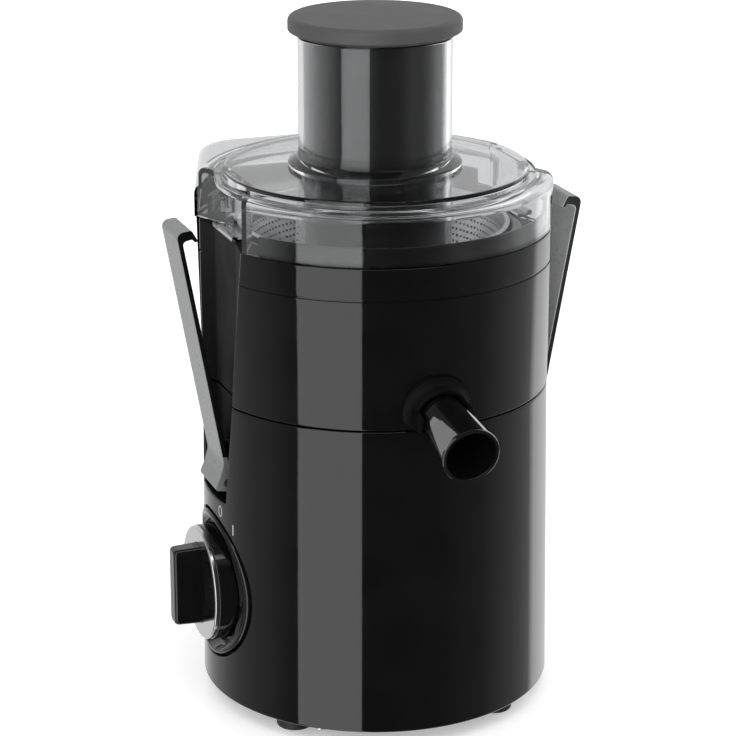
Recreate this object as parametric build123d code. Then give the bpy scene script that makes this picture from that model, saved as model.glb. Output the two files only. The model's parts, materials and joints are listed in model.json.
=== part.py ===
from build123d import *
import os
from math import sin, cos, tan, radians, degrees, pi, sqrt, atan2, hypot

os.makedirs("parts", exist_ok=True)

# Centrifugal juicer, millimetres, +Z up.
# Origin: on the worktop, on the vertical motor axis. Spout towards -Y, speed knob on -X,
# latch clamps on -X and +X, pulp container behind the bowl on +Y.

# ---------------------------------------------------------------- driving sizes
Z_BASE = 7.5            # lower edge of the motor housing, the rubber feet lift it
Z_SEAM = 160.6          # parting line motor housing / juice collector
Z_LINE = 223.8          # decorative groove round the collector
Z_RIM = 239.6           # parting line collector / clear lid
Z_LIP = 248.6           # top of the collector's inner lip, seen through the lid
Z_DISC = 267.9          # raised disc of the lid
Z_TUBE = 331.0          # top of the feed tube
Z_CAP = 333.3           # underside of the pusher's cap
Z_TOP = 341.3           # top of the pusher's cap
R_BASE = 87.1           # housing radius at its lower edge
R_SEAM = 84.9           # radius at the parting line
R_RIM = 86.0            # collector and lid radius at the upper parting line
WALL = 2.5              # moulded wall
GAP = 0.6               # visible parting gap

TUBE_R = 37.0           # feed tube, outside
TUBE_W = 2.3
PUSH_R = 34.2           # pusher, outside
CAP_R = 41.7

KNOB_Z = 62.9           # knob centre
WELL_R = 37.9           # round well in the housing for the dial
BEZEL_R = 36.5
KNOB_R = 28.3

CL_TILT = 10.4          # clamps stand this many degrees ajar
CL_PX = 80.5            # clamp pivot, distance from the motor axis
CL_PZ = 118.5           # clamp pivot height
CL_W = 27.0             # clamp width
CL_T = 2.6              # clamp strap thickness
CL_OUT = 0.4            # strap's outer face, outboard of the pivot
CL_R = 7.4              # knuckle radius
PIN_R = 2.0

SP_B = 11.8             # spout slopes down by this many degrees
SP_Y, SP_Z = -93.0, 168.1   # spout pivot
SP_R0 = 10.8            # spout radius at its root
SP_R = 13.9             # spout radius at its open end
SP_W = 2.3              # spout wall
SP_TIP = 34.6           # from the pivot to the cut end

RB_R = 88.3             # concave front of the pulp container
RB_Z0 = 22.2            # container floor
RB_Z1 = 239.0           # container rim
LEDGE_Z = 21.6          # shelf the container stands on
REAR_Y = 126.0          # back of the lid extension
REAR_TOP = 256.2        # roof of the lid extension

FEET_R, FEET_A = 72.0, (217.0, 305.0, 37.0, 125.0)
SCREW_R = 80.6          # base screws, in bosses on the housing wall


# ---------------------------------------------------------------- helpers
def rounded(pts, to3):
    """A closed outline with optional corner radii, each point (u, v) or (u, v, r)."""
    n = len(pts)
    ins, outs, mids = [], [], []
    for i in range(n):
        u, v = pts[i][0], pts[i][1]
        r = pts[i][2] if len(pts[i]) > 2 else 0
        if r <= 0:
            ins.append((u, v)); outs.append((u, v)); mids.append(None)
            continue
        a, b = pts[i - 1], pts[(i + 1) % n]
        da = (a[0] - u, a[1] - v); db = (b[0] - u, b[1] - v)
        la, lb = hypot(*da), hypot(*db)
        da = (da[0] / la, da[1] / la); db = (db[0] / lb, db[1] / lb)
        half = 0.5 * abs(atan2(da[0] * db[1] - da[1] * db[0], da[0] * db[0] + da[1] * db[1]))
        t = r / tan(half)
        p, q = (u + da[0] * t, v + da[1] * t), (u + db[0] * t, v + db[1] * t)
        bx, by = da[0] + db[0], da[1] + db[1]
        lb2 = hypot(bx, by)
        c = (u + bx / lb2 * r / sin(half), v + by / lb2 * r / sin(half))
        m = (c[0] - bx / lb2 * r, c[1] - by / lb2 * r)
        ins.append(p); outs.append(q); mids.append(m)
    edges = []
    for i in range(n):
        if mids[i] is not None:
            edges.append(Edge.make_three_point_arc(to3(*ins[i]), to3(*mids[i]), to3(*outs[i])))
        j = (i + 1) % n
        if hypot(outs[i][0] - ins[j][0], outs[i][1] - ins[j][1]) > 1e-6:
            edges.append(Edge.make_line(to3(*outs[i]), to3(*ins[j])))
    return Face(Wire(edges))


def rev(*pts):
    """Ring or disc about the motor axis from a profile of (radius, height[, corner radius])."""
    return revolve(rounded(pts, lambda u, v: (u, 0, v)), axis=Axis.Z)


def slab(pts, z0, z1):
    """Outline in plan, from height z0 to z1."""
    return extrude(rounded(pts, lambda u, v: (u, v, z0)), amount=z1 - z0, dir=(0, 0, 1))


def rod(p, q, r):
    """A straight cylinder from point p to point q."""
    p, q = Vector(*p), Vector(*q)
    d = q - p
    return Solid.make_cylinder(r, d.length, Plane(origin=p, z_dir=d))


def block(x0, x1, y0, y1, z0, z1):
    return Solid.make_box(x1 - x0, y1 - y0, z1 - z0, Plane((x0, y0, z0)))


def loft2(a, b, z0, z1):
    """Ruled solid between two polygons with the same number of corners."""
    return Solid.make_loft([Wire.make_polygon([(x, y, z0) for x, y in a], close=True),
                            Wire.make_polygon([(x, y, z1) for x, y in b], close=True)], ruled=True)


def polar(r, a, z):
    return (r * cos(radians(a)), r * sin(radians(a)), z)


def flip(s):
    return s.mirror(Plane.YZ)


def both_sides(s):
    return [s, flip(s)]


def minus(a, *tools):
    for t in tools:
        for u in (t if isinstance(t, (list, tuple)) else [t]):
            a = a - u
    return a


def plus(a, *tools):
    for t in tools:
        for u in (t if isinstance(t, (list, tuple)) else [t]):
            a = a + u
    return a


def save(name, *shapes):
    solids = []
    for s in shapes:
        solids += list(s.solids()) if not isinstance(s, Solid) else [s]
    out = solids[0] if len(solids) == 1 else Compound(children=solids)
    export_step(out, "parts/" + name + ".step")


def r_at(z):
    """Outer radius of the body at a height: housing draft below the seam, bowl draft above."""
    if z <= Z_SEAM:
        return R_BASE + (R_SEAM - R_BASE) * (z - Z_BASE) / (Z_SEAM - Z_BASE)
    return R_SEAM + (R_RIM - R_SEAM) * (z - Z_SEAM) / (Z_RIM - Z_SEAM)


# ---------------------------------------------------------------- clamp recesses
def recess(t=0.0, z0=109.5, z1=Z_RIM + 4):
    """V-shaped channel for the left clamp in housing and collector, grown by t for the wall behind it."""
    def poly(k):
        return [(-(76.0 - t), -(15.2 + 1.8 * k + t)), (-(76.0 - t), 15.2 + 1.8 * k + t),
                (-(86.0 - 6.5 * k - t), 18.0 + 20.0 * k + t), (-99.0, 19.5 + 20.0 * k + t),
                (-99.0, -(19.5 + 20.0 * k + t)), (-(86.0 - 6.5 * k - t), -(18.0 + 20.0 * k + t))]
    span = Z_RIM - 104.0
    v = loft2(poly((z0 - 104.0) / span), poly((z1 - 104.0) / span), z0 - t, z1 + t)
    # round pocket behind the hinge knuckle
    return v + rod((-CL_PX, -15.2 - t, CL_PZ), (-CL_PX, 15.2 + t, CL_PZ), CL_R + 0.7 + t)


def lid_recess(t=0.0, z0=Z_RIM - 4, z1=272.0):
    """The same channel cut in the lid, deeper, so that the clamp's hook can reach behind the lug."""
    p = [(-(70.2 - t), -(16.6 + t)), (-(70.2 - t), 16.6 + t), (-(79.2 - t), 36.4 + t), (-99, 37.5 + t),
         (-99, -(37.5 + t)), (-(79.2 - t), -(36.4 + t))]
    return loft2(p, p, z0, z1)


# ---------------------------------------------------------------- rear outline (lid extension, pulp container, shelf)
def rear_outline(d=0.0, y0=20.0, rc=25.0):
    """Plan of the rear, tapering towards the back, pulled in by d."""
    s = 0.9487                       # side panels run in at about 18.5 degrees
    w0, w1 = 80.0 - d / s, 51.2 - d / s
    y1 = REAR_Y - d
    yc = 38.0
    slope = (w1 - w0) / (REAR_Y - yc)
    a = w0 + slope * (y0 - yc)
    b = w0 + slope * (y1 - yc)
    return [(-a, y0), (a, y0), (b, y1, max(rc - d, 4)), (-b, y1, max(rc - d, 4))]


# ================================================================ MOTOR BASE (fixed)
well_x = -74.5
housing_out = rev((0, Z_BASE), (R_BASE, Z_BASE, 1.2), (R_SEAM, Z_SEAM - GAP / 2, 0.8), (0, Z_SEAM - GAP / 2))
housing_in = rev((0, Z_BASE - 1), (R_BASE - WALL, Z_BASE - 1), (R_SEAM - WALL, Z_SEAM - 2.8), (0, Z_SEAM - 2.8))
rec0, rec1 = recess(0, z1=Z_RIM + 6), recess(2.3, z1=Z_RIM + 6)
housing_in = minus(housing_in, both_sides(rec1))
housing_in = minus(housing_in, rod((-99, 0, KNOB_Z), (well_x + 2.4, 0, KNOB_Z), WELL_R + 2.2))
housing = minus(housing_out, housing_in, both_sides(rec0))
housing = housing - rod((-99, 0, KNOB_Z), (well_x, 0, KNOB_Z), WELL_R)
housing = housing - rod((-80, 0, KNOB_Z), (-60, 0, KNOB_Z), 6.0)
# shelf behind the cylinder for the pulp container, hollow underneath
shelf_pts = rear_outline(4.2, y0=40.0)
shelf = slab(shelf_pts, Z_BASE, LEDGE_Z) - rev((0, 0), (85.6, 0), (85.6, 30), (0, 30))
shelf_in = slab(rear_outline(6.8, y0=34.0), Z_BASE - 1, LEDGE_Z - 2.4) - rev((0, 0), (R_BASE - 0.2, 0), (R_BASE - 0.2, 30), (0, 30))
housing = housing + (shelf - shelf_in)
# a low rim on the shelf locates the container
housing = housing - rod((0, 110, 14.6), (0, 135, 14.6), 5.0)
# top deck: boss for the shaft, screw posts for the motor
housing = plus(housing, rev((11.5, Z_SEAM - 4), (17.0, Z_SEAM - 4), (17.0, 171.5, 0.8), (11.5, 171.5)))
housing = housing - rev((0, 150), (11.5, 150), (11.5, 180), (0, 180))
housing = plus(housing, rev((4.9, Z_SEAM - 2.8), (11.6, Z_SEAM - 2.8), (11.6, Z_SEAM - 0.3), (4.9, Z_SEAM - 0.3)))
for a in (45, 135, 225, 315):
    housing = housing + rod(polar(50, a, 134.0), polar(50, a, Z_SEAM - 2.0), 5.0)
    housing = housing - rod(polar(50, a, 133.0), polar(50, a, 152.0), 1.95)
# bosses for the base screws, outside the motor
for a in FEET_A:
    housing = housing + rod(polar(SCREW_R, a + 14, 10.6), polar(SCREW_R, a + 14, 30.0), 4.4)
    housing = housing - rod(polar(SCREW_R, a + 14, 10.0), polar(SCREW_R, a + 14, 26.0), 1.45)
# clamp hinge bores: the pin is carried in the channel's two side walls
for sx in (-1, 1):
    housing = housing - rod((sx * CL_PX, -25, CL_PZ), (sx * CL_PX, 25, CL_PZ), PIN_R)
# hinge cheeks thicken the channel walls round the pin
for sx in (-1, 1):
    for sy in (-1, 1):
        ck = rod((sx * CL_PX, sy * 15.9, CL_PZ), (sx * CL_PX, sy * 20.4, CL_PZ), 5.2)
        ck = ck & housing_out
        housing = housing + ck
        housing = housing - rod((sx * CL_PX, -25, CL_PZ), (sx * CL_PX, 25, CL_PZ), PIN_R)
# interlock plunger bore in the left channel's floor
IL_Z = 134.0
housing = housing - rod((-80, 0, IL_Z), (-60, 0, IL_Z), 2.35)
save("motor_base_housing", housing)

plate = rev((0, Z_BASE), (R_BASE - WALL - 0.5, Z_BASE, 0.6), (R_BASE - WALL - 0.5, Z_BASE + 2.8), (0, Z_BASE + 2.8))
plate = plate - rod((-99, 0, KNOB_Z), (well_x + 3, 0, KNOB_Z), WELL_R + 3)
for k in range(-4, 5):
    w = sqrt(34.0 ** 2 - (k * 7.0) ** 2)
    plate = plate - block(-w, w, k * 7.0 - 1.4, k * 7.0 + 1.4, 0, 20)
for a in FEET_A:
    plate = plate - rod(polar(SCREW_R, a + 14, 0), polar(SCREW_R, a + 14, 20), 1.7)
    plate = plate - rod(polar(FEET_R, a, Z_BASE - 1), polar(FEET_R, a, Z_BASE + 1.2), 8.2)
save("base_plate", plate)
# the shelf's own bottom cover
cover = slab(rear_outline(7.2, y0=40.0), Z_BASE, Z_BASE + 2.4) - rev((0, 0), (R_BASE + 0.3, 0), (R_BASE + 0.3, 30), (0, 30))
save("shelf_cover", cover)

feet = []
for a in FEET_A:
    x, y, _ = polar(FEET_R, a, 0)
    f = revolve(rounded([(0, 0), (9.0, 0, 1.6), (9.6, Z_BASE), (8.1, Z_BASE), (8.1, Z_BASE + 1.1), (0, Z_BASE + 1.1)],
                        lambda u, v: (u, 0, v)), axis=Axis.Z)
    feet.append(f.moved(Location((x, y, 0))))
save("rubber_feet", *feet)

screws = []
for a in FEET_A:
    p = polar(SCREW_R, a + 14, 0)
    s = rod((p[0], p[1], Z_BASE - 1.2), (p[0], p[1], Z_BASE + 17), 1.4)
    s = s + rod((p[0], p[1], Z_BASE - 1.9), (p[0], p[1], Z_BASE - 0.02), 3.0)
    s = s - block(p[0] - 1.8, p[0] + 1.8, p[1] - 0.4, p[1] + 0.4, Z_BASE - 3, Z_BASE - 1.2)
    s = s - block(p[0] - 0.4, p[0] + 0.4, p[1] - 1.8, p[1] + 1.8, Z_BASE - 3, Z_BASE - 1.2)
    screws.append(s)
save("base_screws", *screws)

# cord bush in the back of the shelf: a flanged rubber sleeve with the bore for a 6.5 mm cord
bush = rod((0, REAR_Y - 8.6, 14.6), (0, REAR_Y - 2.4, 14.6), 4.9) + rod((0, REAR_Y - 4.1, 14.6), (0, REAR_Y - 0.3, 14.6), 6.6)
bush = bush - rod((0, 110, 14.6), (0, 135, 14.6), 3.3)
save("cord_inlet_bush", bush)

# dial bezel: a dished ring in the round well, following the body's curve at its edge
bz = rod((-99, 0, KNOB_Z), (well_x - 0.02, 0, KNOB_Z), BEZEL_R)
skin = rev((0, 0), (R_BASE + 1.0, Z_BASE), (R_SEAM + 1.0, Z_SEAM), (0, 190))
bz = bz & skin
dish = Solid.make_cone(34.6, 30.6, 8.0, Plane(origin=(-87.5, 0, KNOB_Z), z_dir=(1, 0, 0), x_dir=(0, 1, 0)))
bz = bz - dish - rod((-99, 0, KNOB_Z), (-87.4, 0, KNOB_Z), 34.6) - rod((-99, 0, KNOB_Z), (-60, 0, KNOB_Z), 7.0)
save("knob_bezel", bz)

# rotary switch behind the well, with a collar for the knob's shaft
sw = block(-71.6, -50.0, -13, 13, KNOB_Z - 13, KNOB_Z + 13) - rod((-80, 0, KNOB_Z), (-56, 0, KNOB_Z), 3.3)
sw = sw - block(-58.0, -49.0, -14, -9, KNOB_Z - 14, KNOB_Z - 6) - block(-58.0, -49.0, 9, 14, KNOB_Z - 14, KNOB_Z - 6)
save("rotary_switch", sw)
term = [block(-50.0, -44.0, y - 2.4, y + 2.4, KNOB_Z + z - 0.4, KNOB_Z + z + 0.4) for y, z in ((-6, 6), (6, 6), (-6, -4), (6, -4))]
save("switch_terminals", *term)

# interlock: microswitch on the inner side of the channel wall, worked by a plunger
ms = block(-69.4, -53.5, -6.5, 6.5, IL_Z - 10, IL_Z + 12) - rod((-80, 0, IL_Z), (-64.5, 0, IL_Z), 2.45)
save("interlock_switch", ms)

cap = block(-22, 22, -60, -48, 18, 40)
save("suppression_capacitor", fillet(cap.edges(), 1.5))

# motor, hung from the deck on rubber
core = rev((25.0, 78), (41.0, 78, 0.8), (41.0, 122, 0.8), (25.0, 122))
for s in (-1, 1):
    core = core - block(-60, 60, s * 36.0 if s > 0 else -60, 60 if s > 0 else -36.0, 60, 140)
    core = core - rod((s * 36.5, 0, 60), (s * 36.5, 0, 140), 2.3)
core = core - (rev((0, 70), (33.0, 70), (33.0, 130), (0, 130)) & (block(-60, 60, -12, 12, 60, 140)))
save("stator_core", core)
coils = []
for s in (-1, 1):
    c = rev((26.2, 72.4), (34.0, 72.4, 2), (34.0, 77.8), (26.2, 77.8)) & block(-40, 40, 13 if s > 0 else -40, 40 if s > 0 else -13, 60, 140)
    coils.append(c)
save("field_windings", *coils)

ub = rev((6.0, 125.0), (42.0, 125.0, 0.8), (42.0, 128.4, 0.8), (14.6, 128.4), (14.6, 139.0, 0.6), (11.02, 139.0), (11.02, 131.0), (6.0, 131.0))
for a in (45, 135, 225, 315):
    x, y, _ = polar(1, a, 0)
    arm = block(38, 50, -5.5, 5.5, 125.0, 128.4) + rod((50, 0, 125.0), (50, 0, 128.4), 5.5)
    ub = ub + arm.rotate(Axis.Z, a)
    ub = ub - rod(polar(50, a, 120), polar(50, a, 130), 2.6)
    ub = ub - rod(polar(26, a + 45, 120), polar(26, a + 45, 130), 7.0)
save("motor_upper_bracket", ub)
lb = rev((9.53, 45.6), (13.0, 45.6, 0.6), (13.0, 53.0), (42.0, 53.0, 0.8), (42.0, 56.2, 0.8), (6.0, 56.2), (6.0, 52.0), (9.53, 52.0))
for a in (0, 60, 120, 180, 240, 300):
    lb = lb - rod(polar(24.5, a + 30, 40), polar(24.5, a + 30, 60), 6.5)
for a in (45, 135, 225, 315):
    lb = lb - rod(polar(38.6, a, 40), polar(38.6, a, 60), 2.0)
save("motor_lower_bracket", lb)
tie = []
for a in (45, 135, 225, 315):
    t = rod(polar(38.6, a, 50.6), polar(38.6, a, 77.6), 1.9) + rod(polar(38.6, a, 49.0), polar(38.6, a, 52.9), 3.2)
    tie.append(t)
save("motor_tie_screws", *tie)
save("upper_bearing", rev((4.03, 131.1), (11.0, 131.1, 0.5), (11.0, 138.1, 0.5), (4.03, 138.1)))
save("lower_bearing", rev((4.03, 45.9), (9.5, 45.9, 0.5), (9.5, 51.9, 0.5), (4.03, 51.9)))
mounts, mscrews = [], []
for a in (45, 135, 225, 315):
    g = revolve(rounded([(2.3, 121.6), (6.2, 121.6, 0.5), (6.2, 124.95), (2.55, 124.95), (2.55, 128.45), (6.2, 128.45), (6.2, 133.9, 0.5), (2.3, 133.9)],
                        lambda u, v: (u, 0, v)), axis=Axis.Z)
    x, y, _ = polar(50, a, 0)
    mounts.append(g.moved(Location((x, y, 0))))
    m = rod(polar(50, a, 119.6), polar(50, a, 148), 1.9) + rod(polar(50, a, 118.0), polar(50, a, 121.5), 4.4)
    mscrews.append(m)
save("motor_mounts", *mounts)
save("motor_screws", *mscrews)
holders, brushes = [], []
for s in (-1, 1):
    h = block(-5.2, 5.2, 15.5, 35.0, 57.0, 71.5) - block(-3.25, 3.25, 10, 33.0, 61.2, 69.3)
    b = block(-3.1, 3.1, 12.35, 30.0, 61.4, 69.1)
    if s < 0:
        h, b = h.mirror(Plane.XZ), b.mirror(Plane.XZ)
    holders.append(h); brushes.append(b)
save("brush_holders", *holders)
save("carbon_brushes", *brushes)
save("shaft_seal", rev((4.1, 161.0), (11.4, 161.0), (11.4, 166.5, 0.8), (6.5, 166.5), (6.5, 168.6), (4.1, 168.6)))
save("clamp_pivot_pins", rod((-CL_PX, -20.2, CL_PZ), (-CL_PX, 20.2, CL_PZ), PIN_R - 0.04),
     rod((CL_PX, -20.2, CL_PZ), (CL_PX, 20.2, CL_PZ), PIN_R - 0.04))

# ================================================================ ROTOR
save("motor_shaft", rod((0, 0, 30.5), (0, 0, 186.0), 4.0))
save("armature", rev((4.0, 78.5), (24.0, 78.5, 0.8), (24.0, 121.5, 0.8), (4.0, 121.5)))
save("armature_windings", rev((4.0, 121.7), (21.0, 121.7), (19.0, 124.3, 1.0), (4.0, 124.3)),
     rev((4.0, 72.6), (19.0, 72.6, 2), (21.0, 78.3), (4.0, 78.3)))
save("commutator", rev((4.0, 58.0), (12.2, 58.0, 0.4), (12.2, 72.2), (4.0, 72.2)))
fan = rev((4.0, 33.0), (9.0, 33.0), (9.0, 40.2), (33.0, 40.2), (33.0, 41.8), (4.0, 41.8))
for k in range(9):
    bl = block(8.5, 32.0, -0.8, 0.8, 34.0, 40.4).rotate(Axis((20, 0, 0), (0, 0, 1)), 28).rotate(Axis.Z, k * 40)
    fan = fan + bl
save("cooling_fan", fan)


def dogs(r_out, r_root, n, z0, z1, grow=0.0):
    """A star-shaped drive profile with n teeth."""
    pts = []
    for k in range(n):
        a = 360.0 / n * k
        for da, r in ((-11 - grow * 2.2, r_out), (11 + grow * 2.2, r_out), (20 + grow * 1.2, r_root), (40 - grow * 1.2, r_root)):
            pts.append(((r + grow) * cos(radians(a + da)), (r + grow) * sin(radians(a + da))))
    return slab(pts, z0, z1)


cpl = dogs(12.6, 9.6, 6, 176.0, 187.0) + rev((0, 173.5), (14.0, 173.5, 0.6), (14.0, 176.4, 0.6), (0, 176.4))
cpl = cpl - rod((0, 0, 170), (0, 0, 186.02), 4.0)
save("drive_coupling", cpl)

# ================================================================ JUICE COLLECTOR
zc0 = Z_SEAM + GAP / 2
bowl_out = rev((0, zc0), (r_at(zc0), zc0, 0.8), (r_at(Z_LINE) - 0.01, Z_LINE - 0.5), (r_at(Z_LINE) - 0.7, Z_LINE - 0.5),
               (r_at(Z_LINE) - 0.7, Z_LINE + 0.5), (r_at(Z_LINE), Z_LINE + 0.5), (R_RIM, Z_RIM - GAP / 2, 0.6), (0, Z_RIM - GAP / 2))
bowl_in = rev((20.6, 166.6), (R_SEAM - 2.6, 166.6), (R_RIM - 2.6, Z_RIM - 3.0), (66.6, Z_RIM - 3.0), (66.6, Z_RIM + 1), (20.6, Z_RIM + 1))
under = rev((18.6, 150), (R_SEAM - 2.6, 150), (R_SEAM - 2.5, 164.2), (18.6, 164.2))
rec2 = recess(2.3, z1=Z_RIM + 6)
bowl_in = minus(bowl_in, both_sides(rec2))
under = minus(under, both_sides(rec2))
bowl = minus(bowl_out, bowl_in, under, both_sides(rec0))
# central sleeve round the drive, open at the top
bowl = bowl - rev((0, 150), (18.6, 150), (18.6, 260), (0, 260))
bowl = bowl - rev((18, 186.0), (40, 186.0), (40, Z_RIM + 1), (18, Z_RIM + 1))
# inner lip under the clear lid, broken by the clamp channels and by the pulp opening at the back
lip = rev((80.3, Z_RIM - 2.0), (82.5, Z_RIM - 2.0), (82.5, Z_LIP - 0.6), (81.9, Z_LIP), (80.9, Z_LIP), (80.3, Z_LIP - 0.6))
lip = minus(lip, both_sides(lid_recess(2.9, z0=Z_RIM - 6)))
lip = lip - block(-62, 62, 20, 99, Z_RIM - 0.3, 260)
bowl = bowl + lip
# outlet: hole in the front wall and a short nipple inside the spout
ax = Vector(0, -cos(radians(SP_B)), -sin(radians(SP_B)))
piv = Vector(0, SP_Y, SP_Z)
def sp(t):
    p = piv + ax * t
    return (p.X, p.Y, p.Z)
# cowl: a short sleeve on the front wall whose cheeks carry the spout's pins
def front(r0, r1, t0, t1):
    """Cone along the spout's axis."""
    return Solid.make_cone(r0, r1, t1 - t0, Plane(origin=sp(t0), z_dir=ax, x_dir=(1, 0, 0)))
rw = r_at(170)
cowl = front(15.0, 13.6, -20.0, -2.5) & block(-30, 30, -104, -60, Z_SEAM + GAP / 2, 200)
cowl = cowl - rev((0, 100), (rw - 1.2, 100), (rw - 1.2, 220), (0, 220))
bowl = bowl + cowl
for s in (-1, 1):      # ears that hold the spout's pins
    ep = Plane(origin=sp(-9.8), x_dir=(1, 0, 0), z_dir=ax)
    corner = ep.origin + ep.x_dir * (11.5 if s > 0 else -14.0) - ep.y_dir * 4.2
    ear = Solid.make_box(2.5, 8.4, 9.8, Plane(origin=corner, x_dir=(1, 0, 0), z_dir=ax))
    bowl = bowl + (ear + rod((s * 11.5, SP_Y, SP_Z), (s * 14.0, SP_Y, SP_Z), 4.2))
bowl = bowl - (front(11.3, 11.45, -12.0, -2.0) & block(-40, 40, -140, -(rw + 0.3), 100, 220))
bowl = bowl + (rod(sp(-16), sp(1.5), 5.8) - rev((0, 100), (rw - 2.0, 100), (rw - 2.0, 220), (0, 220)))
bowl = bowl - rod(sp(-28), sp(20), 4.5)
# drain groove to the outlet
bowl = bowl - block(-4.5, 4.5, -82.0, -60.0, 165.4, 172.0)
for s in (-1, 1):
    bowl = bowl - rod((s * 8, SP_Y, SP_Z), (s * 24, SP_Y, SP_Z), 1.55)
save("juice_collector", bowl)
save("spout_pins", *[rod((s * 9.4, SP_Y, SP_Z), (s * 13.8, SP_Y, SP_Z), 1.5) for s in (-1, 1)])
save("outlet_seal", Solid.make_cylinder(7.4, 1.8, Plane(origin=sp(-2.6), z_dir=ax)) - rod(sp(-10), sp(10), 5.82))

# ================================================================ SPOUT
k_sp = (SP_R - SP_R0) / (SP_TIP - 3.0)
spt = plus(front(SP_R0, SP_R, 3.0, SP_TIP), Solid.make_cylinder(SP_R0, 7.0, Plane(origin=sp(-4.0), z_dir=ax)))
bore = plus(front(SP_R0 - SP_W, SP_R - SP_W + 0.5, 3.0, SP_TIP + 5), Solid.make_cylinder(SP_R0 - SP_W, 13.0, Plane(origin=sp(-10.0), z_dir=ax)))
spt = spt - bore
# the root is turned to a ball so that it swings clear of the wall
ball = Solid.make_sphere(SP_R0, Plane(origin=sp(0)))
spt = spt - (rod(sp(-20), sp(0), 30) - ball) - rod(sp(-20), sp(-4.0), 30)
for s in (-1, 1):
    spt = spt - rod((s * 5, SP_Y, SP_Z), (s * 20, SP_Y, SP_Z), 1.55)
# shallow moulded pockets on both flanks
for s in (-1, 1):
    n = block(min(s * 5.6, s * 12.4), max(s * 5.6, s * 12.4), SP_Y - 20.5, SP_Y - 12.0, SP_Z + 3.4, SP_Z + 16)
    spt = spt - (n - front(SP_R0 - 1.1, SP_R - 1.1, 3.0, SP_TIP))
save("spout", spt)

# ================================================================ FILTER BASKET
save("basket_hub", minus(rev((0, 178.0), (17.6, 178.0, 0.6), (17.6, 188.6), (22.2, 188.6), (22.2, 179.0), (24.2, 179.0, 0.5), (24.2, 188.6), (38, 188.6), (38, 190.6), (0, 190.6)),
                         dogs(12.6, 9.6, 6, 170.0, 188.2, 0.35), rod((0, 0, 170), (0, 0, 179.5), 15.0)))
save("basket_ring", rev((38.2, 188.4), (46.8, 188.4, 1.0), (47.4, 191.7, 0.5), (44.2, 191.7), (44.2, 190.7), (38.2, 190.7)))
teeth = rev((0, 190.8), (43.9, 190.8), (43.9, 191.7), (0, 191.7))
tt = []
for ring, (r, n) in enumerate(((12, 8), (19, 12), (26, 16), (33, 20), (40, 24))):
    for k in range(n):
        a = 360.0 / n * (k + 0.5 * (ring % 2))
        p = Solid.make_cone(1.3, 0.35, 1.5, Plane(polar(r, a, 191.6)))
        tt.append(p)
teeth = plus(teeth, tt)
save("grater_disc", teeth)
zr = 234.8
save("filter_mesh", rev((44.4, 191.8), (45.3, 191.8), (62.9, zr), (62.0, zr)))
save("basket_rim", rev((61.6, zr + 0.1), (63.6, zr + 0.1), (65.6, 241.2, 0.5), (63.0, 241.2, 0.5), (62.0, 237.6)))

# ================================================================ LID
zl0 = Z_RIM + GAP / 2
circ_out = rev((0, zl0), (R_RIM, zl0, 0.6), (R_RIM, 265.2, 8.2), (77.7, 265.2), (77.2, 264.0), (74.6, 264.0), (74.2, Z_DISC, 1.0), (0, Z_DISC))
circ_in = rev((0, zl0 - 1), (R_RIM - 2.4, zl0 - 1), (R_RIM - 2.4, 262.8, 6.0), (77.0, 261.6), (74.0, 261.6), (72.4, 265.6), (0, 265.6))
ext_out = slab(rear_outline(0), zl0, REAR_TOP)
ext_out = fillet(ext_out.edges().filter_by(lambda e: e.center().Z > REAR_TOP - 0.1 and e.center().Y > 30), 5.0)
ext_in = slab(rear_outline(2.2, y0=10.0), zl0 - 1, REAR_TOP - 2.2)
ext_out = ext_out - rev((0, 200), (R_RIM - 6, 200), (R_RIM - 6, 280), (0, 280))
lid_out = circ_out + ext_out
lid_out = minus(lid_out, both_sides(lid_recess(0)))
lr = lid_recess(2.2, z0=Z_RIM - 6, z1=272.0)
lid_in = minus(circ_in, both_sides(lr))
ext_in = minus(ext_in, both_sides(lr))
# inside, the round wall is left out only where the pulp passes to the back
back_way = ext_in & block(-58, 58, 20, 130, 200, 300)
ext_side = ext_in - rev((0, 200), (R_RIM, 200), (R_RIM, 280), (0, 280))
lid = minus(lid_out, lid_in, ext_side, back_way)
# lugs: a bar across each channel that the clamp's hook closes over, with guide ribs above it
lug = block(-77.6, -69.6, -15.6, 15.6, zl0, 240.8) + block(-77.6, -74.6, -15.6, 15.6, zl0, 242.3)
lid = plus(lid, both_sides(lug))
ribs = [block(-72.2, -69.6, y - 0.9, y + 0.9, 248.5, 262.5) for y in (-15.2, 15.2)]
for rb in ribs:
    lid = plus(lid, both_sides(rb))
# feed tube through the disc, with its collar
lid = lid - rev((0, 190), (TUBE_R - 0.5, 190), (TUBE_R - 0.5, 300), (0, 300))
lid = lid + rev((TUBE_R - TUBE_W, 199.0), (TUBE_R, 199.0), (TUBE_R, Z_DISC - 0.5), (42.0, Z_DISC - 0.5), (42.0, 270.0, 1.0),
                (TUBE_R + 0.6, 273.2, 1.0), (TUBE_R, 277.0), (TUBE_R, Z_TUBE, 0.8), (TUBE_R - TUBE_W, Z_TUBE, 0.8))
save("lid", lid)

# ================================================================ PUSHER
save("pusher_body", rev((0, 196.8), (PUSH_R, 196.8, 1.5), (PUSH_R, Z_TUBE + 1.0), (PUSH_R - 2.2, Z_TUBE + 1.0), (PUSH_R - 2.2, 199.2), (0, 199.2)))
save("pusher_cap", rev((0, Z_TUBE + 1.1), (CAP_R - 3.0, Z_TUBE + 1.1), (CAP_R, Z_CAP + 0.3, 1.2), (CAP_R, Z_TOP - 0.9, 2.6), (0, Z_TOP)))

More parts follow.
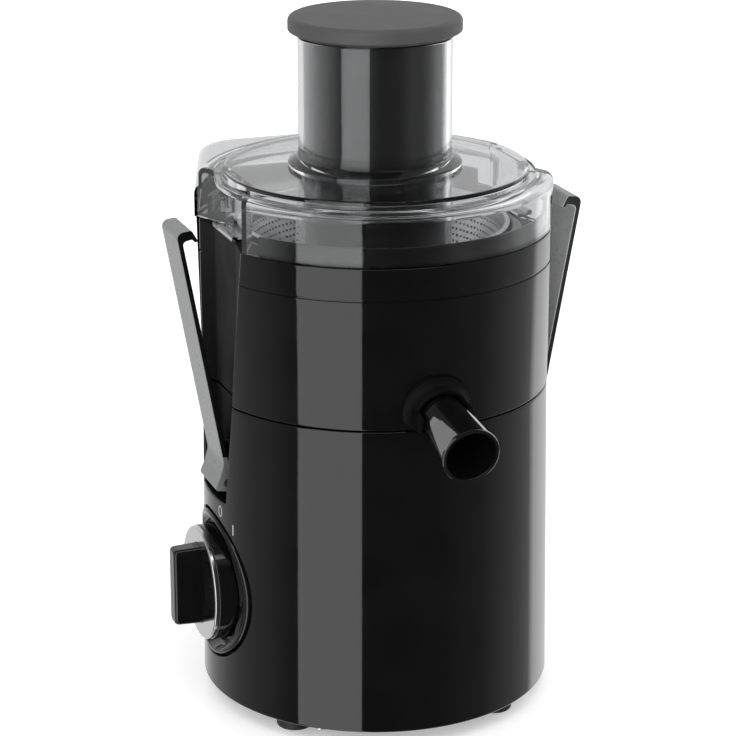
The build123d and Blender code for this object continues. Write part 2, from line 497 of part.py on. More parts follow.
# ================================================================ KNOB
kb = rod((-79.6, 0, KNOB_Z), (-90.9, 0, KNOB_Z), KNOB_R + 0.5)
gr = slab([(-5.4, -20.3, 2.0), (5.4, -20.3, 2.0), (5.4, 20.3, 2.0), (-5.4, 20.3, 2.0)], 0, 16.4)
gr = Plane(origin=(-90.0, 0, KNOB_Z), x_dir=(0, 1, 0), z_dir=(-1, 0, 0)) * gr
kb = kb + gr
kb = fillet(kb.edges().filter_by(lambda e: e.center().X < -106.3), 1.2)
kb = kb - rod((-85.5, 0, KNOB_Z), (-70, 0, KNOB_Z), 3.02)
kb = kb - (rod((-84.5, 0, KNOB_Z), (-70, 0, KNOB_Z), KNOB_R - 2.2) - rod((-90, 0, KNOB_Z), (-70, 0, KNOB_Z), 7.0))
save("knob", kb)
kd = rod((-91.0, 0, KNOB_Z), (-92.7, 0, KNOB_Z), KNOB_R)
kd = fillet(kd.edges().filter_by(lambda e: e.center().X < -92.6), 0.7)
slot = Plane(origin=(-90.0, 0, KNOB_Z), x_dir=(0, 1, 0), z_dir=(-1, 0, 0)) * slab([(-5.55, -20.45, 2.1), (5.55, -20.45, 2.1), (5.55, 20.45, 2.1), (-5.55, 20.45, 2.1)], -2, 6)
kd = kd - slot
save("knob_disc", kd)
save("knob_shaft", rod((-85.4, 0, KNOB_Z), (-57.0, 0, KNOB_Z), 3.0))

# ================================================================ CLAMPS
def clamp_profile(sx):
    """Strap, knuckle and hook in the XZ plane, tilted outwards. u is outboard of the pivot, v up the strap."""
    t = radians(CL_TILT)

    def to3(u, v):
        x = -CL_PX - u * cos(t) - v * sin(t)
        z = CL_PZ - u * sin(t) + v * cos(t)
        return (-x if sx > 0 else x, -CL_W / 2, z)
    o, i = CL_OUT, CL_OUT - CL_T
    strap = rounded([(o, 0), (o, 129.6, 5.0), (-7.6, 129.0, 1.6), (-9.7, 122.9, 0.8), (-7.9, 122.9, 0.6), (-7.2, 124.6, 1.0), (i, 124.6, 2.0), (i, 0)], to3)
    body = extrude(strap, amount=CL_W, dir=(0, 1, 0))
    x, _, z = to3(0, 0)
    body = body + rod((x, -CL_W / 2, z), (x, CL_W / 2, z), CL_R)
    # blend between the knuckle and the strap
    web = rounded([(o, 14.0), (CL_R - 0.6, 3.0), (0, 0), (-6.6, 3.3), (i, 8.0)], to3)
    body = body + extrude(web, amount=CL_W, dir=(0, 1, 0))
    body = body - rod((x, -CL_W, z), (x, CL_W, z), PIN_R + 0.03)
    return body


save("clamp_left", clamp_profile(-1))
save("clamp_right", clamp_profile(1))

# ================================================================ INTERLOCK PLUNGER
pl = rod((-77.5, 0, IL_Z), (-67.4, 0, IL_Z), 2.3) + rod((-73.2, 0, IL_Z), (-72.2, 0, IL_Z), 3.6)
save("interlock_plunger", pl)

# ================================================================ PULP CONTAINER
def frustum(pts0, pts1, z0, z1):
    f0 = rounded(pts0, lambda u, v: (u, v, z0)); f1 = rounded(pts1, lambda u, v: (u, v, z1))
    return Solid.make_loft([f0.outer_wire(), f1.outer_wire()], ruled=True)


bo = frustum(rear_outline(4.6, y0=52.0, rc=24.0), rear_outline(0.7, y0=52.0, rc=24.0), RB_Z0, RB_Z1)
bo = bo - rod((0, 0, 0), (0, 0, 300), RB_R)
bi = frustum(rear_outline(6.8, y0=54.0, rc=24.0), rear_outline(2.9, y0=54.0, rc=24.0), RB_Z0 + 2.4, RB_Z1 + 0.1)
bi = bi - rod((0, 0, 0), (0, 0, 300), RB_R + 2.1)
pc = bo - bi
# finger grip: a shallow scoop and lip at the back
grip = slab([(-24, REAR_Y - 5.6), (24, REAR_Y - 5.6), (20, REAR_Y - 0.2, 2.0), (-20, REAR_Y - 0.2, 2.0)], 206.0, 209.0)
pc = pc + (grip - bi)
save("pulp_container", pc)
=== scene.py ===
import bpy, bmesh, json
from math import sin, cos, tan, radians, degrees, pi, sqrt, atan2, hypot, acos
from mathutils import Vector, Matrix


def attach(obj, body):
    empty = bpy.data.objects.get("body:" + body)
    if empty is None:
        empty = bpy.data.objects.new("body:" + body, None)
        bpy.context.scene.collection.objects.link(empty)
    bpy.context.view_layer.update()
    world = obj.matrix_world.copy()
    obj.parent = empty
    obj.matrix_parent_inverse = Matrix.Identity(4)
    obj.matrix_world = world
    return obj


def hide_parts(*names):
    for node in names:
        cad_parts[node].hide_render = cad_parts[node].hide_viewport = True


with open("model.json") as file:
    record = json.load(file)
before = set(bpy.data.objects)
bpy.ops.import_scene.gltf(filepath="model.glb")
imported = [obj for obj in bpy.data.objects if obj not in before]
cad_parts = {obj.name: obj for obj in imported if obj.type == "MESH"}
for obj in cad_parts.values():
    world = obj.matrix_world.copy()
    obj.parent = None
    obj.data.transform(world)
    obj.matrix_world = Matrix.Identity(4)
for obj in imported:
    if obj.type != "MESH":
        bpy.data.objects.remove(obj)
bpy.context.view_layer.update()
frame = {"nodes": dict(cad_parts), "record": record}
nodes = frame["nodes"]
MM = 0.001
scene = bpy.context.scene
scene.view_settings.view_transform = "Standard"
scene.view_settings.look = "None"

# ------------------------------------------------------------------ sizes, millimetres (as in the CAD)
Z_BASE, Z_SEAM, Z_LINE, Z_RIM, Z_LIP, Z_DISC, Z_TUBE, Z_CAP, Z_TOP = 7.5, 160.6, 223.8, 239.6, 248.6, 267.9, 331.0, 333.3, 341.3
R_BASE, R_SEAM, R_RIM, WALL, GAP = 87.1, 84.9, 86.0, 2.5, 0.6
TUBE_R, TUBE_W, PUSH_R, CAP_R = 37.0, 2.3, 34.2, 41.7
KNOB_Z, WELL_R, BEZEL_R, KNOB_R, WELL_X = 62.9, 37.9, 36.5, 28.3, -74.5
IL_Z = 134.0
CL_TILT, CL_PX, CL_PZ, CL_W, CL_T, CL_OUT, CL_R, PIN_R = 10.4, 80.5, 118.5, 27.0, 2.6, 0.4, 7.4, 2.0
SP_B, SP_Y, SP_Z, SP_R0, SP_R, SP_W, SP_TIP = 11.8, -93.0, 168.1, 10.8, 13.9, 2.3, 34.6
REAR_Y, REAR_TOP, RB_R, RB_Z0, RB_Z1, LEDGE_Z = 126.0, 256.2, 88.3, 22.2, 239.0, 21.6


def r_at(z):
    if z <= Z_SEAM:
        return R_BASE + (R_SEAM - R_BASE) * (z - Z_BASE) / (Z_SEAM - Z_BASE)
    return R_SEAM + (R_RIM - R_SEAM) * (z - Z_SEAM) / (Z_RIM - Z_SEAM)


# ------------------------------------------------------------------ materials
def new_mat(name):
    m = bpy.data.materials.new(name)
    m.use_nodes = True
    t = m.node_tree
    b = t.nodes["Principled BSDF"]
    return m, t, b


def noise(t, scale, detail=2.0, rough=0.5, coords="Object", stretch=None):
    tc = t.nodes.new("ShaderNodeTexCoord")
    n = t.nodes.new("ShaderNodeTexNoise")
    n.inputs["Scale"].default_value = scale
    n.inputs["Detail"].default_value = detail
    n.inputs["Roughness"].default_value = rough
    if stretch:
        mp = t.nodes.new("ShaderNodeMapping")
        mp.inputs["Scale"].default_value = stretch
        t.links.new(tc.outputs[coords], mp.inputs["Vector"])
        t.links.new(mp.outputs["Vector"], n.inputs["Vector"])
    else:
        t.links.new(tc.outputs[coords], n.inputs["Vector"])
    return n


def ramp(t, src, a, b, lo=0.0, hi=1.0):
    mr = t.nodes.new("ShaderNodeMapRange")
    mr.inputs["From Min"].default_value = lo
    mr.inputs["From Max"].default_value = hi
    mr.inputs["To Min"].default_value = a
    mr.inputs["To Max"].default_value = b
    t.links.new(src, mr.inputs["Value"])
    return mr.outputs["Result"]


def tint(t, src, ca, cb, lo=0.0, hi=1.0):
    mr = t.nodes.new("ShaderNodeMapRange")
    mr.inputs["From Min"].default_value = lo
    mr.inputs["From Max"].default_value = hi
    t.links.new(src, mr.inputs["Value"])
    mx = t.nodes.new("ShaderNodeMix")
    mx.data_type = "RGBA"
    t.links.new(mr.outputs["Result"], mx.inputs["Factor"])
    mx.inputs[6].default_value = (*ca, 1)
    mx.inputs[7].default_value = (*cb, 1)
    return mx.outputs[2]


def bump(t, b, src, strength, dist):
    bp = t.nodes.new("ShaderNodeBump")
    bp.inputs["Strength"].default_value = strength
    bp.inputs["Distance"].default_value = dist
    t.links.new(src, bp.inputs["Height"])
    t.links.new(bp.outputs["Normal"], b.inputs["Normal"])
    return bp


def plastic(name, ca, cb, r0, r1, scale=60, bscale=900, bstrength=0.05, bdist=0.0001, spec=0.5, coat=0.0, coat_rough=0.03, ior=1.5):
    m, t, b = new_mat(name)
    n = noise(t, scale, 3)
    t.links.new(tint(t, n.outputs["Fac"], ca, cb, 0.3, 0.7), b.inputs["Base Color"])
    t.links.new(ramp(t, n.outputs["Fac"], r0, r1, 0.3, 0.7), b.inputs["Roughness"])
    g = noise(t, bscale, 2)
    bump(t, b, g.outputs["Fac"], bstrength, bdist)
    b.inputs["IOR"].default_value = ior
    b.inputs["Specular IOR Level"].default_value = spec
    b.inputs["Coat Weight"].default_value = coat
    b.inputs["Coat Roughness"].default_value = coat_rough
    return m


def metal(name, ca, cb, r0, r1, scale=80, stretch=None, bstrength=0.05, bdist=0.0001, aniso=0.0, metallic=1.0, spec=0.5):
    m, t, b = new_mat(name)
    n = noise(t, scale, 4, 0.6, stretch=stretch)
    t.links.new(tint(t, n.outputs["Fac"], ca, cb, 0.3, 0.7), b.inputs["Base Color"])
    t.links.new(ramp(t, n.outputs["Fac"], r0, r1, 0.3, 0.7), b.inputs["Roughness"])
    b.inputs["Metallic"].default_value = metallic
    b.inputs["Specular IOR Level"].default_value = spec
    b.inputs["Anisotropic"].default_value = aniso
    bump(t, b, n.outputs["Fac"], bstrength, bdist)
    return m


def mark_satin(ob, test):
    """Faces that pass the test get the finely textured finish instead of the polished one."""
    ob.data.materials.append(MAT["black_satin"])
    for f in ob.data.polygons:
        if test(*[c / MM for c in f.center]):
            f.material_index = 1
    return ob


def in_channel(x, y, z):
    return abs(x) > 60 and abs(y) < 42 and z > 109 and 70 < hypot(x, y) < r_at(z) - 0.9


MAT = {}
MAT["black_gloss"] = plastic("black_gloss", (0.0035, 0.0035, 0.0038), (0.0050, 0.0050, 0.0052), 0.035, 0.065, 45, 420, 0.012, 0.00008)
MAT["black_satin"] = plastic("black_satin", (0.0035, 0.0035, 0.0038), (0.0055, 0.0055, 0.0058), 0.45, 0.55, 60, 1400, 0.10, 0.00005, spec=0.06)
MAT["black_lacquer"] = plastic("black_lacquer", (0.0035, 0.0035, 0.0038), (0.0050, 0.0050, 0.0052), 0.03, 0.06, 45, 420, 0.010, 0.00008, spec=0.8)
MAT["black_matte"] = plastic("black_matte", (0.012, 0.012, 0.013), (0.018, 0.018, 0.019), 0.32, 0.42, 60, 1400, 0.18, 0.00006)
MAT["charcoal_matte"] = plastic("charcoal_matte", (0.060, 0.060, 0.062), (0.072, 0.072, 0.074), 0.52, 0.62, 60, 1500, 0.20, 0.00006)
MAT["smoke_gloss"] = plastic("smoke_gloss", (0.028, 0.028, 0.029), (0.034, 0.034, 0.035), 0.20, 0.26, 30, 300, 0.003, 0.00005)
MAT["silver_paint"] = metal("silver_paint", (0.178, 0.181, 0.183), (0.202, 0.205, 0.207), 0.26, 0.34, 300, None, 0.03, 0.00004, metallic=0.12, spec=0.28)
MAT["chrome_plate"] = metal("chrome_plate", (0.52, 0.52, 0.53), (0.58, 0.58, 0.59), 0.12, 0.20, 60, (1, 1, 1), 0.02)
MAT["steel"] = metal("steel", (0.72, 0.72, 0.73), (0.80, 0.80, 0.81), 0.28, 0.40, 220, (1, 1, 14), 0.05, 0.00006)
MAT["rubber"] = plastic("rubber", (0.012, 0.012, 0.012), (0.022, 0.022, 0.021), 0.55, 0.75, 80, 1200, 0.30, 0.0001)
MAT["seal_grey"] = plastic("seal_grey", (0.36, 0.37, 0.38), (0.44, 0.45, 0.46), 0.45, 0.6, 80, 900, 0.15, 0.0001)
MAT["white_plastic"] = plastic("white_plastic", (0.66, 0.65, 0.61), (0.74, 0.73, 0.69), 0.3, 0.42, 60, 900, 0.08, 0.0001)
MAT["brass"] = metal("brass", (0.70, 0.52, 0.22), (0.78, 0.60, 0.30), 0.22, 0.36, 120, None, 0.05)
MAT["carbon"] = plastic("carbon", (0.02, 0.02, 0.021), (0.05, 0.05, 0.052), 0.5, 0.7, 500, 1800, 0.35, 0.0001)
MAT["zinc"] = metal("zinc", (0.48, 0.49, 0.52), (0.62, 0.63, 0.66), 0.34, 0.5, 90, None, 0.12)
MAT["cap_yellow"] = plastic("cap_yellow", (0.62, 0.44, 0.08), (0.70, 0.52, 0.12), 0.25, 0.35, 60, 800, 0.05)


def striped(name, ca, cb, per_m, axis, metallic, r0, r1, dist=0.0002, strength=0.6):
    """Fine parallel lines: stamped laminations or wound wire."""
    m, t, b = new_mat(name)
    tc = t.nodes.new("ShaderNodeTexCoord")
    w = t.nodes.new("ShaderNodeTexWave")
    w.wave_type = "BANDS"
    w.bands_direction = axis
    w.inputs["Scale"].default_value = per_m / 2 / pi * 2
    w.inputs["Distortion"].default_value = 0.3
    w.inputs["Detail"].default_value = 1.0
    t.links.new(tc.outputs["Object"], w.inputs["Vector"])
    n = noise(t, 140, 3)
    t.links.new(tint(t, w.outputs["Fac"], ca, cb, 0.0, 1.0), b.inputs["Base Color"])
    t.links.new(ramp(t, n.outputs["Fac"], r0, r1, 0.3, 0.7), b.inputs["Roughness"])
    b.inputs["Metallic"].default_value = metallic
    bump(t, b, w.outputs["Fac"], strength, dist)
    return m


MAT["lamination"] = striped("lamination", (0.10, 0.095, 0.09), (0.24, 0.23, 0.22), 1000, "Z", 0.8, 0.4, 0.55)
MAT["copper"] = striped("copper", (0.42, 0.13, 0.04), (0.68, 0.27, 0.10), 900, "Z", 0.9, 0.25, 0.4, 0.0003)


def clear(name, color, rough=0.02, ior=1.46):
    m, t, b = new_mat(name)
    n = noise(t, 35, 2)
    t.links.new(ramp(t, n.outputs["Fac"], rough * 0.6, rough * 1.6, 0.3, 0.7), b.inputs["Roughness"])
    t.links.new(tint(t, n.outputs["Fac"], color, tuple(c * 0.985 for c in color), 0.3, 0.7), b.inputs["Base Color"])
    b.inputs["Transmission Weight"].default_value = 1.0
    b.inputs["IOR"].default_value = ior
    g = noise(t, 120, 2)
    bump(t, b, g.outputs["Fac"], 0.02, 0.0001)
    return m


MAT["clear_plastic"] = clear("clear_plastic", (0.80, 0.81, 0.82))

slots = {s["node"]: s["material_slot"] for s in frame["record"]["subparts"]}
for name, obj in nodes.items():
    obj.data.materials.clear()
    obj.data.materials.append(MAT[slots[name]])


# ------------------------------------------------------------------ mesh building
def rounded(pts, n=5):
    """Closed outline with corner radii, (u, v[, r]) -> points."""
    out = []
    k = len(pts)
    for i in range(k):
        u, v = pts[i][0], pts[i][1]
        r = pts[i][2] if len(pts[i]) > 2 else 0
        if r <= 0:
            out.append((u, v))
            continue
        a, b = pts[i - 1], pts[(i + 1) % k]
        da, db = Vector((a[0] - u, a[1] - v)), Vector((b[0] - u, b[1] - v))
        la, lb = da.length, db.length
        da, db = da / la, db / lb
        half = 0.5 * acos(max(-1, min(1, da.dot(db))))
        t = min(r / tan(half), 0.49 * la, 0.49 * lb)
        r = t * tan(half)
        p, q = Vector((u, v)) + da * t, Vector((u, v)) + db * t
        bis = (da + db).normalized()
        c = Vector((u, v)) + bis * (r / sin(half))
        a0, a1 = atan2(p.y - c.y, p.x - c.x), atan2(q.y - c.y, q.x - c.x)
        d = (a1 - a0 + pi) % (2 * pi) - pi
        for s in range(n + 1):
            w = a0 + d * s / n
            out.append((c.x + r * cos(w), c.y + r * sin(w)))
    return out


def to_mesh(name, verts, faces, M=None):
    """Mesh from millimetre points, normals outwards."""
    me = bpy.data.meshes.new(name)
    vs = [Vector(v) for v in verts]
    if M is not None:
        vs = [M @ v for v in vs]
    me.from_pydata([v * MM for v in vs], [], faces)
    bm = bmesh.new()
    bm.from_mesh(me)
    bmesh.ops.remove_doubles(bm, verts=bm.verts, dist=1e-6)
    bmesh.ops.recalc_face_normals(bm, faces=bm.faces)
    bm.to_mesh(me)
    bm.free()
    return me


def closed_grid(rows, wrap=True, cap=False):
    """Rows of equal length, closed round each row. wrap joins the last row to the first, cap closes the two ends."""
    n = len(rows[0])
    verts = [p for r in rows for p in r]
    faces = []
    m = len(rows)
    for i in range(m if wrap else m - 1):
        a, b = i * n, ((i + 1) % m) * n
        for j in range(n):
            k = (j + 1) % n
            faces.append((a + j, a + k, b + k, b + j))
    if cap:
        faces.append(tuple(range(n)))
        faces.append(tuple(range((m - 1) * n, m * n)))
    return verts, faces


def lathe(pts, segs=160):
    """Solid of revolution about Z from a closed outline of (radius, height)."""
    verts, rings, faces = [], [], []
    for r, z in pts:
        if r < 1e-6:
            rings.append((len(verts),))
            verts.append((0, 0, z))
        else:
            rings.append(tuple(range(len(verts), len(verts) + segs)))
            verts += [(r * cos(2 * pi * k / segs), r * sin(2 * pi * k / segs), z) for k in range(segs)]
    for i in range(len(rings)):
        a, b = rings[i], rings[(i + 1) % len(rings)]
        if len(a) == 1 and len(b) == 1:
            continue
        for k in range(segs):
            l = (k + 1) % segs
            if len(a) == 1:
                faces.append((a[0], b[l], b[k]))
            elif len(b) == 1:
                faces.append((a[k], a[l], b[0]))
            else:
                faces.append((a[k], a[l], b[l], b[k]))
    return verts, faces


def arc_body(pts, a0, a1, segs):
    """The same outline turned only from angle a0 to a1, degrees, with closed ends."""
    rows = [[(r * cos(radians(a0 + (a1 - a0) * k / segs)), r * sin(radians(a0 + (a1 - a0) * k / segs)), z) for r, z in pts] for k in range(segs + 1)]
    return closed_grid(rows, wrap=False, cap=True)


def prism(pts, to3, half):
    """Outline in a plane, extruded by half each way along the third argument's axis: to3(u, v, w)."""
    n = len(pts)
    verts = [to3(u, v, -half) for u, v in pts] + [to3(u, v, half) for u, v in pts]
    faces = [tuple(range(n)), tuple(range(n, 2 * n))] + [(j, (j + 1) % n, n + (j + 1) % n, n + j) for j in range(n)]
    return verts, faces


def piece(name, vf, body, mat, rep=(), sharp=32, M=None, bevel=0.0, wn=True, cut=(), subsurf=0):
    me = vf if isinstance(vf, bpy.types.Mesh) else to_mesh(name, vf[0], vf[1], M)
    ob = bpy.data.objects.new(name, me)
    scene.collection.objects.link(ob)
    for c in cut:
        boolean(ob, c)
    me = ob.data
    me.materials.clear()
    me.materials.append(MAT[mat])
    me.shade_smooth()
    me.set_sharp_from_angle(angle=radians(sharp))
    if bevel:
        bv = ob.modifiers.new("edges", "BEVEL")
        bv.width = bevel * MM
        bv.segments = 3
        bv.limit_method = "ANGLE"
        bv.angle_limit = radians(sharp)
        bv.harden_normals = True
    if wn:
        w = ob.modifiers.new("normals", "WEIGHTED_NORMAL")
        w.keep_sharp = True
        w.weight = 60
    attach(ob, body)
    if rep:
        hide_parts(*rep)
    return ob


def boolean(ob, tool, op="DIFFERENCE"):
    """tool is (verts, faces[, matrix]); the result becomes the object's own mesh."""
    me = to_mesh("tool", tool[0], tool[1], tool[2] if len(tool) > 2 else None)
    t = bpy.data.objects.new("tool", me)
    scene.collection.objects.link(t)
    md = ob.modifiers.new("cut", "BOOLEAN")
    md.operation = op
    md.solver = "EXACT"
    md.object = t
    dg = bpy.context.evaluated_depsgraph_get()
    dg.update()
    new = bpy.data.meshes.new_from_object(ob.evaluated_get(dg))
    ob.modifiers.remove(md)
    old = ob.data
    ob.data = new
    bpy.data.meshes.remove(old)
    bpy.data.objects.remove(t)
    bpy.data.meshes.remove(me)


def cyl(p, q, r, segs=96):
    """Closed cylinder between two points, as (verts, faces)."""
    p, q = Vector(p), Vector(q)
    d = (q - p).normalized()
    x = d.orthogonal().normalized()
    y = d.cross(x)
    rows = [[tuple(c + x * r * cos(2 * pi * k / segs) + y * r * sin(2 * pi * k / segs)) for k in range(segs)] for c in (p, q)]
    return closed_grid(rows, wrap=False, cap=True)


def joined(*vfs):
    """Several closed bodies as one mesh."""
    verts, faces = [], []
    for v, f in vfs:
        o = len(verts)
        verts += list(v)
        faces += [tuple(i + o for i in g) for g in f]
    return verts, faces


AX_X = Matrix(((0, 0, -1, 0), (1, 0, 0, 0), (0, -1, 0, 0), (0, 0, 0, 1)))   # local +Z points to -X, local X to +Y, local Y to -Z


def along_x(x0, z0=0.0):
    """Local Z runs outwards along -X from x0; local X is +Y, local Y is -Z."""
    return Matrix.Translation((x0, 0, z0)) @ AX_X


# ------------------------------------------------------------------ body outline with the two clamp channels
NF, NC, NW, NO, NA = 8, 4, 5, 5, 60


def kz(z):
    return (z - 104.0) / (Z_RIM - 104.0)


def floor_x(z, t):
    """Channel floor, with the round pocket behind the hinge knuckle."""
    d = z - CL_PZ
    r = CL_R + 0.7 + t
    f = 76.0 - t
    if abs(d) < r:
        f = min(f, CL_PX - sqrt(r * r - d * d))
    return f


def quarter(z, R, t=0.0, rc=1.2, ro=0.9):
    """Outline from angle 0 (middle of the channel) to 90 degrees at one height."""
    k = kz(z)
    fx, yf = floor_x(z, t), 15.2 + 1.8 * k + t
    P0, P1 = Vector((76.0 - t, yf)), Vector((86.0 - 6.5 * k - t, 18.0 + 20.0 * k + t))
    d = P1 - P0
    a, b, c = d.dot(d), 2 * P0.dot(d), P0.dot(P0) - R * R
    s = (-b + sqrt(b * b - 4 * a * c)) / (2 * a)
    C = P0 + d * s
    out = [(fx, (yf - rc) * i / NF) for i in range(NF)]
    if fx < 76.0 - t - 1e-6:      # pocket: straight step from its bottom to the wall's foot
        for i in range(NC + 1):
            w = i / NC
            out.append((fx + (76.0 - t - fx) * w ** 3, yf - rc + rc * (1 - (1 - w) ** 3)))
    else:
        u = (Vector((0, -1)) * rc + P0, P0 + d.normalized() * rc)
        for i in range(NC + 1):
            w = i / NC
            out.append(tuple(u[0] * (1 - w) ** 2 + P0 * (2 * w * (1 - w)) + u[1] * w * w))
    ang = atan2(C.y, C.x)
    tang = Vector((-sin(ang), cos(ang)))
    ua, ub_ang = C - d.normalized() * ro, ang + ro / R
    ub = Vector((R * cos(ub_ang), R * sin(ub_ang)))
    start = Vector(out[-1])
    for i in range(1, NW + 1):
        out.append(tuple(start + (ua - start) * (i / NW)))
    for i in range(1, NO + 1):
        w = i / NO
        out.append(tuple(ua * (1 - w) ** 2 + C * (2 * w * (1 - w)) + ub * w * w))
    for i in range(1, NA + 1):
        w = ub_ang + (pi / 2 - ub_ang) * i / NA
        out.append((R * cos(w), R * sin(w)))
    return out


REF_ANG = [atan2(y, x) for x, y in quarter(109.5, r_at(109.5))]


def full(q, z):
    """Four mirrored quarters as a closed row at height z."""
    a = q
    row = [(x, y, z) for x, y in a]
    row += [(-x, y, z) for x, y in reversed(a[:-1])]
    row += [(-x, -y, z) for x, y in a[1:]]
    row += [(x, -y, z) for x, y in reversed(a[1:-1])]
    return row


def row_chan(z, dr=0.0, t=0.0, R=None):
    return full(quarter(z, (R or r_at(z)) - dr, t), z)


def row_circle(r, z, angs=None):
    return full([(r * cos(w), r * sin(w)) for w in (angs or REF_ANG)], z)


def row_mix(q0, q1, w, z):
    return full([(a[0] + (b[0] - a[0]) * w, a[1] + (b[1] - a[1]) * w) for a, b in zip(q0, q1)], z)


def circle_like(q, r):
    """Circle of radius r with points at the same angles as outline q."""
    return [(r * x / hypot(x, y), r * y / hypot(x, y)) for x, y in q]


def housing_rows():
    rows = []
    r = 1.2
    for i in range(6):                                         # lower edge
        a = pi / 2 * i / 5
        rows.append(row_circle(r_at(Z_BASE) - r * (1 - sin(a)), Z_BASE + r * (1 - cos(a))))
    for z in (14, 24, 36, 48, 60, 72, 84, 96, 104, 107.6):
        rows.append(row_circle(r_at(z), z))
    for z, w in ((108.6, 0.0), (109.0, 0.012), (109.25, 0.04), (109.4, 0.10), (109.55, 0.90), (109.75, 0.96), (110.1, 0.99), (110.6, 1.0)):
        q = quarter(max(z, 109.5), r_at(z))
        rows.append(row_mix(circle_like(q, r_at(z)), q, w, z))
    for z in [110.8 + 0.7 * i for i in range(23)]:               # pocket behind the knuckle
        rows.append(row_chan(z))
    for z in (128, 132, 137, 142, 148, 154, 158):
        rows.append(row_chan(z))
    zt = Z_SEAM - GAP / 2
    for i in range(6):                                         # upper edge
        a = pi / 2 * i / 5
        rows.append(row_chan(zt - 0.8 * (1 - sin(a)), 0.8 * (1 - cos(a)), 0.8 * (1 - cos(a))))
    q = quarter(zt, r_at(zt) - 0.8, 0.8)
    for rr, w in ((0, 0.08), (0, 0.3), (0, 0.6)):
        rows.append(row_mix(q, circle_like(q, 40.0), w, zt))
    for rr, z in rounded([(19.5, zt), (17.0, zt, 0.6), (17.0, 171.5, 0.8), (12.4, 171.5, 0.4), (11.5, 170.9, 0.3), (11.5, zt, 0.3), (4.9, zt, 0.3), (4.9, 157.8, 0.3), (14, 157.8), (14, 130)], 4)[:-2]:
        rows.append(full(circle_like(q, rr), z))
    qi = quarter(157.8, r_at(157.8) - WALL, 2.3, 0.8, 0.6)
    for w in (0.75, 0.4, 0.1):
        rows.append(row_mix(qi, circle_like(qi, 14.0), w, 157.8))
    for z in (157.6, 150, 140, 130, 126.5):
        rows.append(full(quarter(z, r_at(z) - WALL, 2.3, 0.8, 0.6), z))
    for z in [125.9 - 0.9 * i for i in range(17)]:
        rows.append(full(quarter(z, r_at(z) - WALL, 2.3, 0.8, 0.6), z))
    for z, w in ((110.2, 1.0), (108.2, 1.0), (107.4, 0.95), (107.1, 0.06), (106.6, 0.0)):
        q = quarter(max(z, 109.5), r_at(z) - WALL, 2.3, 0.8, 0.6)
        rows.append(row_mix(circle_like(q, r_at(z) - WALL), q, w, z))
    for z in (95, 80, 62, 44, 26, 11):
        rows.append(row_circle(r_at(z) - WALL, z))
    rows.append(row_circle(r_at(Z_BASE) - WALL, Z_BASE + 0.3))
    rows.append(row_circle(r_at(Z_BASE) - WALL + 0.3, Z_BASE))
    return rows


well_cut = cyl((-99, 0, KNOB_Z), (WELL_X - 2, 0, KNOB_Z), WELL_R + 0.5, 160)
posts = []
for a in (45, 135, 225, 315):
    c = (50 * cos(radians(a)), 50 * sin(radians(a)))
    v, f = lathe(rounded([(1.95, 134.0), (5.0, 134.0, 0.5), (5.0, 159.0), (1.95, 159.0)], 3), 32)
    posts.append(([(x + c[0], y + c[1], z) for x, y, z in v], f))
for a in (231, 319, 51, 139):
    c = (80.6 * cos(radians(a)), 80.6 * sin(radians(a)))
    v, f = lathe(rounded([(1.45, 10.6), (4.2, 10.6, 0.4), (4.2, 30.0), (1.45, 30.0)], 3), 32)
    posts.append(([(x + c[0], y + c[1], z) for x, y, z in v], f))
housing = piece("housing_shell", closed_grid(housing_rows()), "base", "black_gloss", ["motor_base_housing"], sharp=38, cut=[well_cut])
mark_satin(housing, in_channel)
piece("housing_posts", joined(*posts), "base", "black_matte")


def body_x(y, z, dr=0.0):
    return -sqrt(max((r_at(z) + dr) ** 2 - y * y, 1))


# the well's cup: inner wall, rounded rim that follows the body's curve, tucked under the skin
rows = []
N = 160
for r, out, deep in ((0.001, 0, 0), (20, 0, 0), (WELL_R - 0.6, 0, 0)):
    rows.append([(WELL_X, r * cos(2 * pi * k / N), KNOB_Z + r * sin(2 * pi * k / N)) for k in range(N)])
for i in range(4):
    a = pi / 2 * i / 3
    rows.append([(WELL_X - 0.6 * (1 - cos(a)), (WELL_R - 0.6 + 0.6 * sin(a)) * cos(2 * pi * k / N), KNOB_Z + (WELL_R - 0.6 + 0.6 * sin(a)) * sin(2 * pi * k / N)) for k in range(N)])
for i in range(7):
    a = pi / 2 * i / 6
    rr = WELL_R + 0.9 * (1 - cos(a))
    row = []
    for k in range(N):
        y, z = rr * cos(2 * pi * k / N), KNOB_Z + rr * sin(2 * pi * k / N)
        row.append((body_x(y, z, 0.02) + 0.9 * (1 - sin(a)), y, z))
    rows.append(row)
for rr, dr in ((WELL_R + 1.3, -0.25), (WELL_R + 1.6, -1.6), (WELL_R + 1.6, -2.4)):
    rows.append([(body_x(rr * cos(2 * pi * k / N), KNOB_Z + rr * sin(2 * pi * k / N), dr), rr * cos(2 * pi * k / N), KNOB_Z + rr * sin(2 * pi * k / N)) for k in range(N)])
for r in (WELL_R + 1.6, 20, 0.001):
    rows.append([(WELL_X + 2.3, r * cos(2 * pi * k / N), KNOB_Z + r * sin(2 * pi * k / N)) for k in range(N)])
piece("housing_knob_well", closed_grid(rows, wrap=False, cap=True), "base", "black_gloss", sharp=40)


# ------------------------------------------------------------------ rear outline (shelf, container)
def rear_outline(d=0.0, y0=20.0, rc=25.0):
    s = 0.9487
    w0, w1 = 80.0 - d / s, 51.2 - d / s
    y1, yc = REAR_Y - d, 38.0
    slope = (w1 - w0) / (REAR_Y - yc)
    a, b = w0 + slope * (y0 - yc), w0 + slope * (y1 - yc)
    return [(a, y0), (b, y1, max(rc - d, 4)), (-b, y1, max(rc - d, 4)), (-a, y0)]


